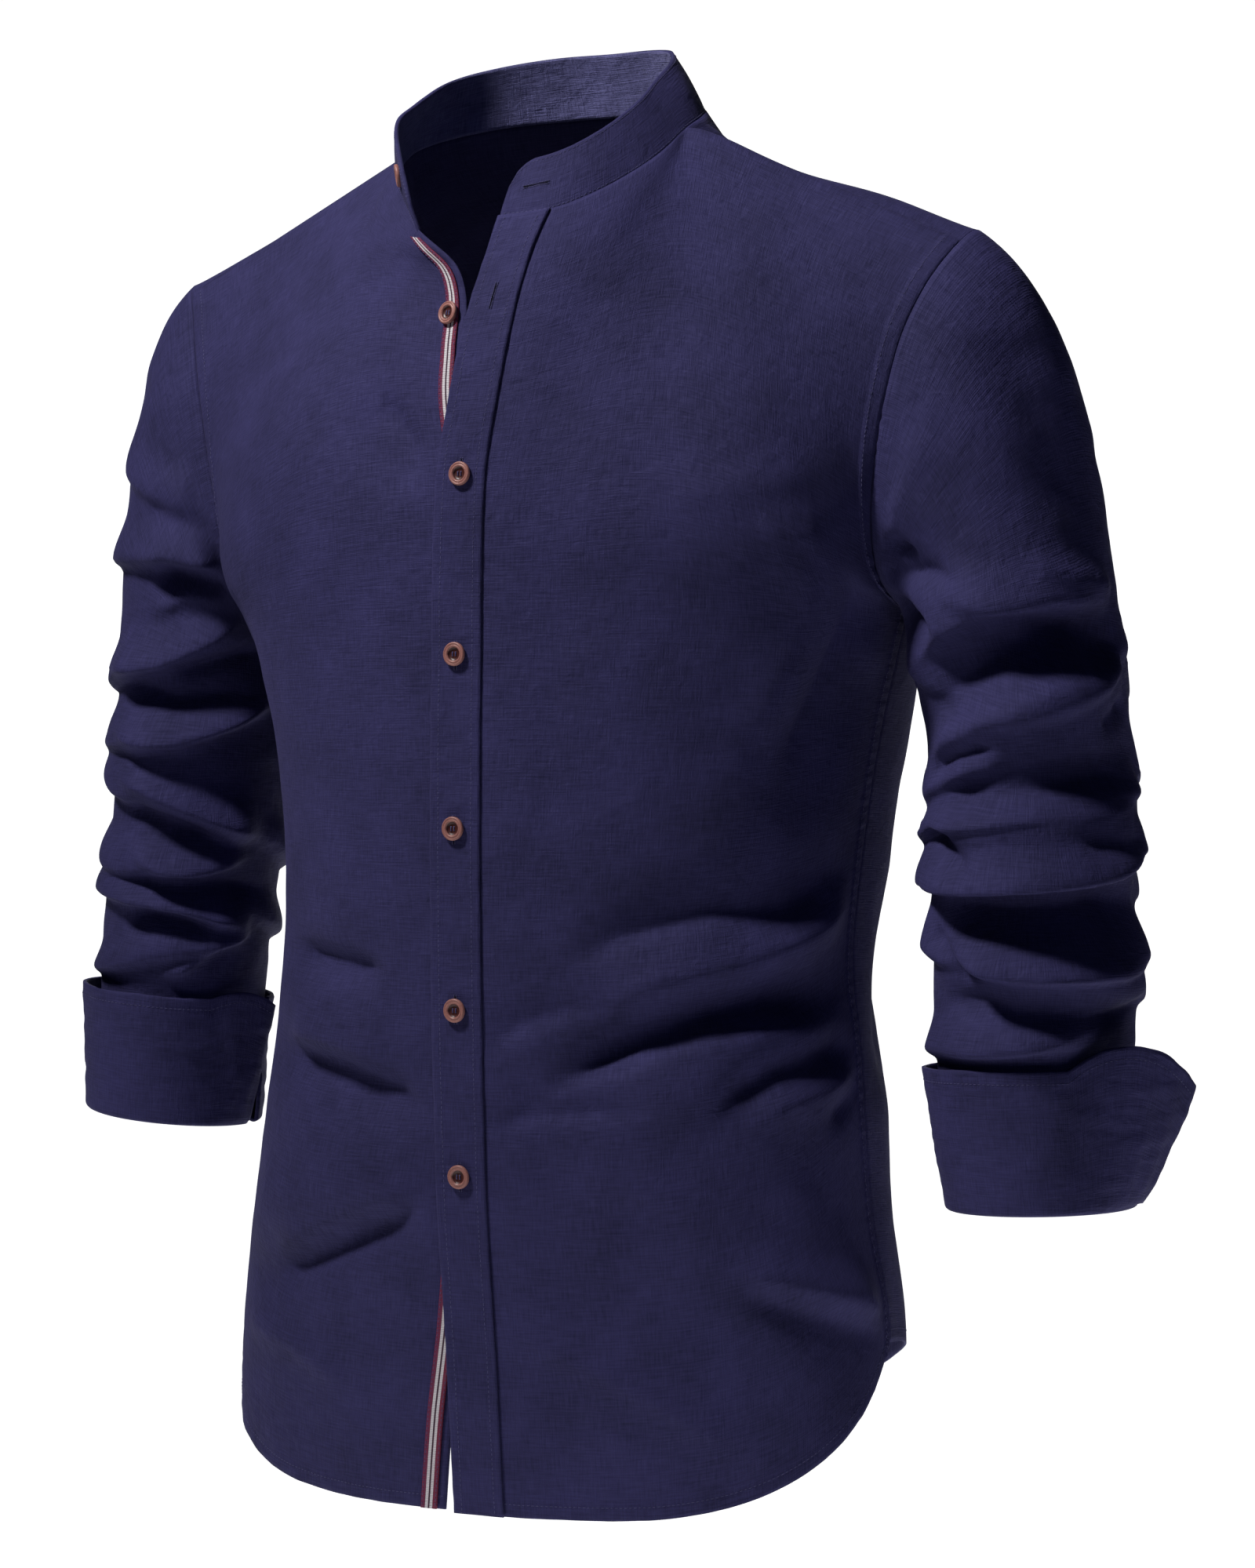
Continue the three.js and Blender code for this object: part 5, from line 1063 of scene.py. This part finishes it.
def wood_material(name, pale, dark):
    """Turned wood: rings of grain in two browns with a satin finish."""
    made = bpy.data.materials.new(name)
    made.use_nodes = True
    tree = made.node_tree
    shader = tree.nodes["Principled BSDF"]
    at = node(tree, "ShaderNodeTexCoord")
    grain = node(tree, "ShaderNodeTexNoise", Vector=at.outputs["Object"], Scale=900.0, Detail=6.0,
                 Distortion=2.0)
    colour = node(tree, "ShaderNodeMix", data_type="RGBA")
    tree.links.new(grain.outputs[0], colour.inputs["Factor"])
    colour.inputs[6].default_value = dark
    colour.inputs[7].default_value = pale
    rough = node(tree, "ShaderNodeMapRange", Value=grain.outputs[0], To_Min=0.3, To_Max=0.5)
    relief = node(tree, "ShaderNodeBump", Strength=0.25, Distance=0.0002, Height=grain.outputs[0])
    tree.links.new(colour.outputs[2], shader.inputs["Base Color"])
    tree.links.new(rough.outputs[0], shader.inputs["Roughness"])
    tree.links.new(relief.outputs[0], shader.inputs["Normal"])
    return made


RIM_WOOD = wood_material("button_rim_wood", (0.52, 0.25, 0.21, 1), (0.17, 0.045, 0.04, 1))
DISH_WOOD = wood_material("button_dish_wood", (0.10, 0.022, 0.018, 1), (0.028, 0.006, 0.006, 1))
THREAD = cloth_material("sewing_thread", (0.10, 0.095, 0.21, 1), (0.06, 0.055, 0.14, 1), 0.3,
                        (0.6, 0.6, 1, 1), 0.2)


for name in sorted(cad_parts):
    if not name.startswith("button"):
        continue
    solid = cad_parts[name]
    rows = np.array([solid.matrix_world @ vert.co for vert in solid.data.vertices])
    centre = rows.mean(0)
    spread = np.linalg.svd(np.unique(rows.round(6), axis=0) - centre)[2][2]
    facing = Vector(spread if spread[1] < 0 else -spread)
    along = (np.unique(rows.round(6), axis=0) - centre) @ np.array(facing)
    foot = Vector(centre) + facing * float(along.min())
    disc = bmesh.new()
    radius = BUTTON_RADIUS * MM
    outline = [disc.verts.new((out * radius, 0, up * radius)) for out, up in BUTTON_PROFILE]
    edges = [disc.edges.new(pair) for pair in zip(outline, outline[1:])]
    bmesh.ops.spin(disc, geom=outline + edges, cent=(0, 0, 0), axis=(0, 0, 1), angle=2 * math.pi, steps=40,
                   use_merge=True)
    bmesh.ops.remove_doubles(disc, verts=disc.verts[:], dist=1e-6)
    bmesh.ops.recalc_face_normals(disc, faces=disc.faces[:])
    for face in disc.faces:
        middle = face.calc_center_median()
        face.material_index = int(middle.xy.length < DISH_SHARE * radius and face.normal.z > 0.2)
    for x, y in ((1, 1), (1, -1), (-1, 1), (-1, -1)):
        place = Matrix.Translation((x * HOLE_SPREAD * MM, y * HOLE_SPREAD * MM, HOLE_HEIGHT * radius))
        hole = bmesh.ops.create_icosphere(disc, subdivisions=1, radius=HOLE_RADIUS * MM, matrix=place)
        for vert in hole["verts"]:
            for face in vert.link_faces:
                face.material_index = 2
    for x in (-1, 1):
        place = Matrix.Translation((x * HOLE_SPREAD * MM, 0, THREAD_HEIGHT * radius))
        place = place @ Matrix.Diagonal(THREAD_SHAPE)
        thread = bmesh.ops.create_icosphere(disc, subdivisions=2, radius=HOLE_RADIUS * MM, matrix=place)
        for vert in thread["verts"]:
            for face in vert.link_faces:
                face.material_index = 2
    turn = facing.to_track_quat("Z", "Y").to_matrix().to_4x4()
    bmesh.ops.transform(disc, matrix=Matrix.Translation(foot) @ turn, verts=disc.verts[:])
    made = new_object(f"{name}_wood", disc, RIM_WOOD)
    made.data.materials.append(DISH_WOOD)
    made.data.materials.append(THREAD)
    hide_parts(name)
    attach(made, "root")


# The sewing: rows of single-needle stitches in thread a little paler than the cloth, along the placket,
# the tape, the hems, the collar, the cuffs and the fronts' side and armhole seams.
STITCH_PITCH = 2.6
STITCH_LENGTH = 1.9
STITCH_WIDTH = 0.42


def line_inside(grid, normals, edge, inset):
    """Places and normals along one edge of a grid of cloth, a distance in from it."""
    if edge in ("bottom", "top"):
        grid, normals = grid.transpose(1, 0, 2), normals.transpose(1, 0, 2)
    if edge in ("top", "side"):
        grid, normals = grid[::-1], normals[::-1]
    run = np.linalg.norm(np.diff(grid, axis=0), axis=-1).cumsum(0)
    run = np.concatenate([run[:1] * 0, run])
    sample = lambda values: np.array([
        [np.interp(inset, run[:, j], values[:, j, axis]) for axis in range(3)] for j in range(grid.shape[1])
    ])
    return sample(grid), unit(sample(normals))


def stitches(name, lines, pitch=STITCH_PITCH, material=THREAD):
    """Small rounded stitches along lines of places, lying on the cloth."""
    parts = []
    for at, out in lines:
        run = np.append(0, np.cumsum(np.linalg.norm(np.diff(at, axis=0), axis=-1)))
        for distance in np.arange(pitch, run[-1] - pitch, pitch):
            ends = [np.array([np.interp(distance + off, run, at[:, axis]) for axis in range(3)])
                    for off in (-STITCH_LENGTH / 2, STITCH_LENGTH / 2)]
            normal = Vector([np.interp(distance, run, out[:, axis]) for axis in range(3)]).normalized()
            along = Vector(ends[1] - ends[0]).normalized()
            aside = normal.cross(along).normalized()
            axes = Matrix((along, aside, normal)).transposed().to_4x4()
            middle = Vector((ends[0] + ends[1]) / 2) + normal * 0.08
            size = Matrix.Diagonal((STITCH_LENGTH / 2 * MM, STITCH_WIDTH / 2 * MM, STITCH_WIDTH / 2 * MM, 1))
            parts.append(Matrix.Translation(middle * MM) @ axes @ size)
    one = bmesh.new()
    bmesh.ops.create_icosphere(one, subdivisions=1, radius=1)
    stitch = bpy.data.meshes.new("stitch")
    one.to_mesh(stitch)
    one.free()
    row = bmesh.new()
    for place in parts:
        stitch.transform(place)
        row.from_mesh(stitch)
        stitch.transform(place.inverted())
    bpy.data.meshes.remove(stitch)
    made = new_object(name, row, material)
    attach(made, "root")
    return made


PLACKET_OUT = normals_of(PLACKET_GRID, PLACKET_GRID * (0, 0, 1) + FRONT_INSIDE)
stitches("placket_stitches", [line_inside(PLACKET_GRID, PLACKET_OUT, edge, 5) for edge in ("start", "side")])
TAPE_OUT = normals_of(TAPE_GRID, TAPE_GRID * (0, 0, 1) + FRONT_INSIDE)
stitches("tape_stitches", [line_inside(TAPE_GRID, TAPE_OUT, edge, 0.8) for edge in ("start", "side")])
BACK_OUT = normals_of(BACK_GRID, BACK_GRID * (0, 0, 1) + BACK_INSIDE)
stitches("hem_stitches", [
    line_inside(LEFT_GRID, LEFT_NORMALS, "bottom", 7),
    line_inside(RIGHT_GRID, RIGHT_NORMALS, "bottom", 7),
    line_inside(BACK_GRID, BACK_OUT, "bottom", 7),
])
COLLAR_OUT = normals_of(COLLAR_GRID, COLLAR_GRID * (0, 0, 1))
stitches("collar_stitches", [line_inside(COLLAR_GRID, COLLAR_OUT, edge, 2.4) for edge in ("bottom", "top")])
stitches("seam_stitches", [
    line_inside(LEFT_GRID, LEFT_NORMALS, "side", SEAM_WIDTH - 1),
    line_inside(RIGHT_GRID, RIGHT_NORMALS, "side", SEAM_WIDTH - 1),
])
for label, hand, cuff in (("left", 1, LEFT_CUFF), ("right", -1, RIGHT_CUFF)):
    grid = cuff_grids[label]
    ring = places(hand * cuff["x"] + grid[..., 0] * 0, cuff["y"], grid[..., 2])
    out = unit((grid - ring) * (1, 1, 0))
    stitches(f"cuff_{label}_stitches", [line_inside(grid, out, "bottom", 6.5)])


# The buttonholes: short slots bound with dense thread, one empty on the placket at the open neck and one
# on the collar's left end, and one under each button, where only its ends show.
BUTTONHOLE_LENGTH = 16.0
BAR_ASIDE = 0.75
BAR_PITCH = 0.75
SLOT_PITCH = 1.2
BUTTONHOLE_HEIGHTS = (-104.0, -198.0, -293.0, -385.0, -481.0, -569.0)


# The slot's near-black colour is painted shade: the shadow inside the buttonhole's cut.
SLOT_SHADE = cloth_material("buttonhole_slot_painted_shade", (0.006, 0.005, 0.016, 1), (0.002, 0.002, 0.006, 1), 0.0,
                           (0.6, 0.6, 1, 1), 0.1)


def buttonhole(name, middle, along, normal):
    """Bars of thread round a slot painted near-black as the shade in its cut, each bar lying across the edge of the
    slot.
    """
    aside = np.cross(normal, along)
    lines = []
    for side in (-1, 1):
        steps = np.linspace(-0.5, 0.5, 9) * BUTTONHOLE_LENGTH
        edge = [middle + along * step + aside * side * BAR_ASIDE for step in steps]
        lines.append((np.array(edge), np.tile(normal, (9, 1))))
    ends = middle + np.outer((-0.5, 0.5), along) * BUTTONHOLE_LENGTH
    stitches(f"{name}_slot", [(ends, np.tile(normal, (2, 1)))], SLOT_PITCH, SLOT_SHADE)
    return stitches(name, lines, BAR_PITCH)


PLACKET_MIDDLE = PLACKET_GRID[PLACKET_GRID.shape[0] // 2]
MIDDLE_OUT = PLACKET_OUT[PLACKET_OUT.shape[0] // 2]
for index, height in enumerate(BUTTONHOLE_HEIGHTS):
    near = int(np.argmin(np.abs(PLACKET_MIDDLE[:, 2] - height)))
    along = unit(PLACKET_MIDDLE[near + 2] - PLACKET_MIDDLE[near - 2])
    buttonhole(f"buttonhole_{index}", PLACKET_MIDDLE[near] + MIDDLE_OUT[near] * 0.1, along, MIDDLE_OUT[near])
end_column = int(0.045 * COLLAR_GRID.shape[0])
collar_middle = COLLAR_GRID[end_column, COLLAR_GRID.shape[1] // 2]
collar_along = unit(COLLAR_GRID[end_column + 3, 10] - COLLAR_GRID[end_column - 3, 10])
buttonhole("buttonhole_collar", collar_middle, collar_along, COLLAR_OUT[end_column, 10])


# The studio: a pale seamless floor and wall far behind, a broad soft key from the wearer's right front,
# a weak fill and the camera at the photograph's angle.
VIEW_ANGLE = math.radians(28)
VIEW_DISTANCE = 2.2
VIEW_HEIGHT = -0.3615
VIEW_SHIFT = 0.03565
FLOOR_HEIGHT = -1.3
BACKDROP_WIDTH = 3.0

sweep = bmesh.new()
rail = [(-1.2, FLOOR_HEIGHT), (2.0, FLOOR_HEIGHT)]
rail += [(2.0 + 1.2 * math.sin(angle), FLOOR_HEIGHT + 1.2 * (1 - math.cos(angle)))
         for angle in np.linspace(0, math.pi / 2, 13)[1:]]
rail.append((3.2, 1.6))
verts = [sweep.verts.new((-BACKDROP_WIDTH / 2, y, z)) for y, z in rail]
edges = [sweep.edges.new(pair) for pair in zip(verts, verts[1:])]
grown = bmesh.ops.extrude_edge_only(sweep, edges=edges)
bmesh.ops.translate(sweep, verts=[item for item in grown["geom"] if isinstance(item, bmesh.types.BMVert)],
                    vec=(BACKDROP_WIDTH, 0, 0))
bmesh.ops.rotate(sweep, verts=sweep.verts[:], cent=(0, 0, 0), matrix=Matrix.Rotation(VIEW_ANGLE, 3, "Z"))
paper = bpy.data.materials.new("studio_paper")
paper.use_nodes = True
paper_shader = paper.node_tree.nodes["Principled BSDF"]
paper_shader.inputs["Base Color"].default_value = (0.9, 0.9, 0.9, 1)
paper_shader.inputs["Roughness"].default_value = 0.9
paper_shader.inputs["Emission Color"].default_value = (1, 1, 1, 1)
paper_shader.inputs["Emission Strength"].default_value = 0.9
front_only = node(paper.node_tree, "ShaderNodeMath", operation="SUBTRACT", _0=1.0)
seen_from = node(paper.node_tree, "ShaderNodeNewGeometry")
paper.node_tree.links.new(seen_from.outputs["Backfacing"], front_only.inputs[1])
paper.node_tree.links.new(front_only.outputs[0], paper_shader.inputs["Alpha"])
backdrop = new_object("studio_backdrop", sweep, paper)
if backdrop.data.polygons[0].normal.z < 0:
    backdrop.data.flip_normals()

world = bpy.data.worlds.new("studio_world")
bpy.context.scene.world = world
world.use_nodes = True
world.node_tree.nodes["Background"].inputs["Color"].default_value = (0.5, 0.6, 1, 1)
world.node_tree.nodes["Background"].inputs["Strength"].default_value = 0.02


def area_light(name, place, target, size, power, spread, colour):
    """A soft light at a place, turned to a target."""
    lamp = bpy.data.lights.new(name, "AREA")
    lamp.shape = "RECTANGLE"
    lamp.size, lamp.size_y = size
    lamp.energy = power
    lamp.spread = math.radians(spread)
    lamp.color = colour
    made = bpy.data.objects.new(name, lamp)
    made.location = place
    made.rotation_euler = (Vector(target) - Vector(place)).to_track_quat("-Z", "Y").to_euler()
    bpy.context.scene.collection.objects.link(made)


area_light("key", (-0.68, -1.2, 1.5), (0.02, -0.05, 0.0), (0.35, 0.35), 7.6, 70, (1, 0.99, 0.98))
area_light("fill", (2.2, -2.2, 0.3), (0, 0, -0.4), (1.2, 1.8), 2.6, 180, (0.5, 0.6, 1))

view = bpy.data.cameras.new("camera")
view.lens = 91.13
view.sensor_width = 36
view.dof.use_dof = False
camera = bpy.data.objects.new("camera", view)
camera.location = (
    VIEW_DISTANCE * math.sin(VIEW_ANGLE) + VIEW_SHIFT * math.cos(VIEW_ANGLE),
    -VIEW_DISTANCE * math.cos(VIEW_ANGLE) + VIEW_SHIFT * math.sin(VIEW_ANGLE),
    VIEW_HEIGHT,
)
camera.rotation_euler = (math.pi / 2, 0, VIEW_ANGLE)
bpy.context.scene.collection.objects.link(camera)
bpy.context.scene.camera = camera
bpy.context.scene.view_settings.view_transform = "Standard"
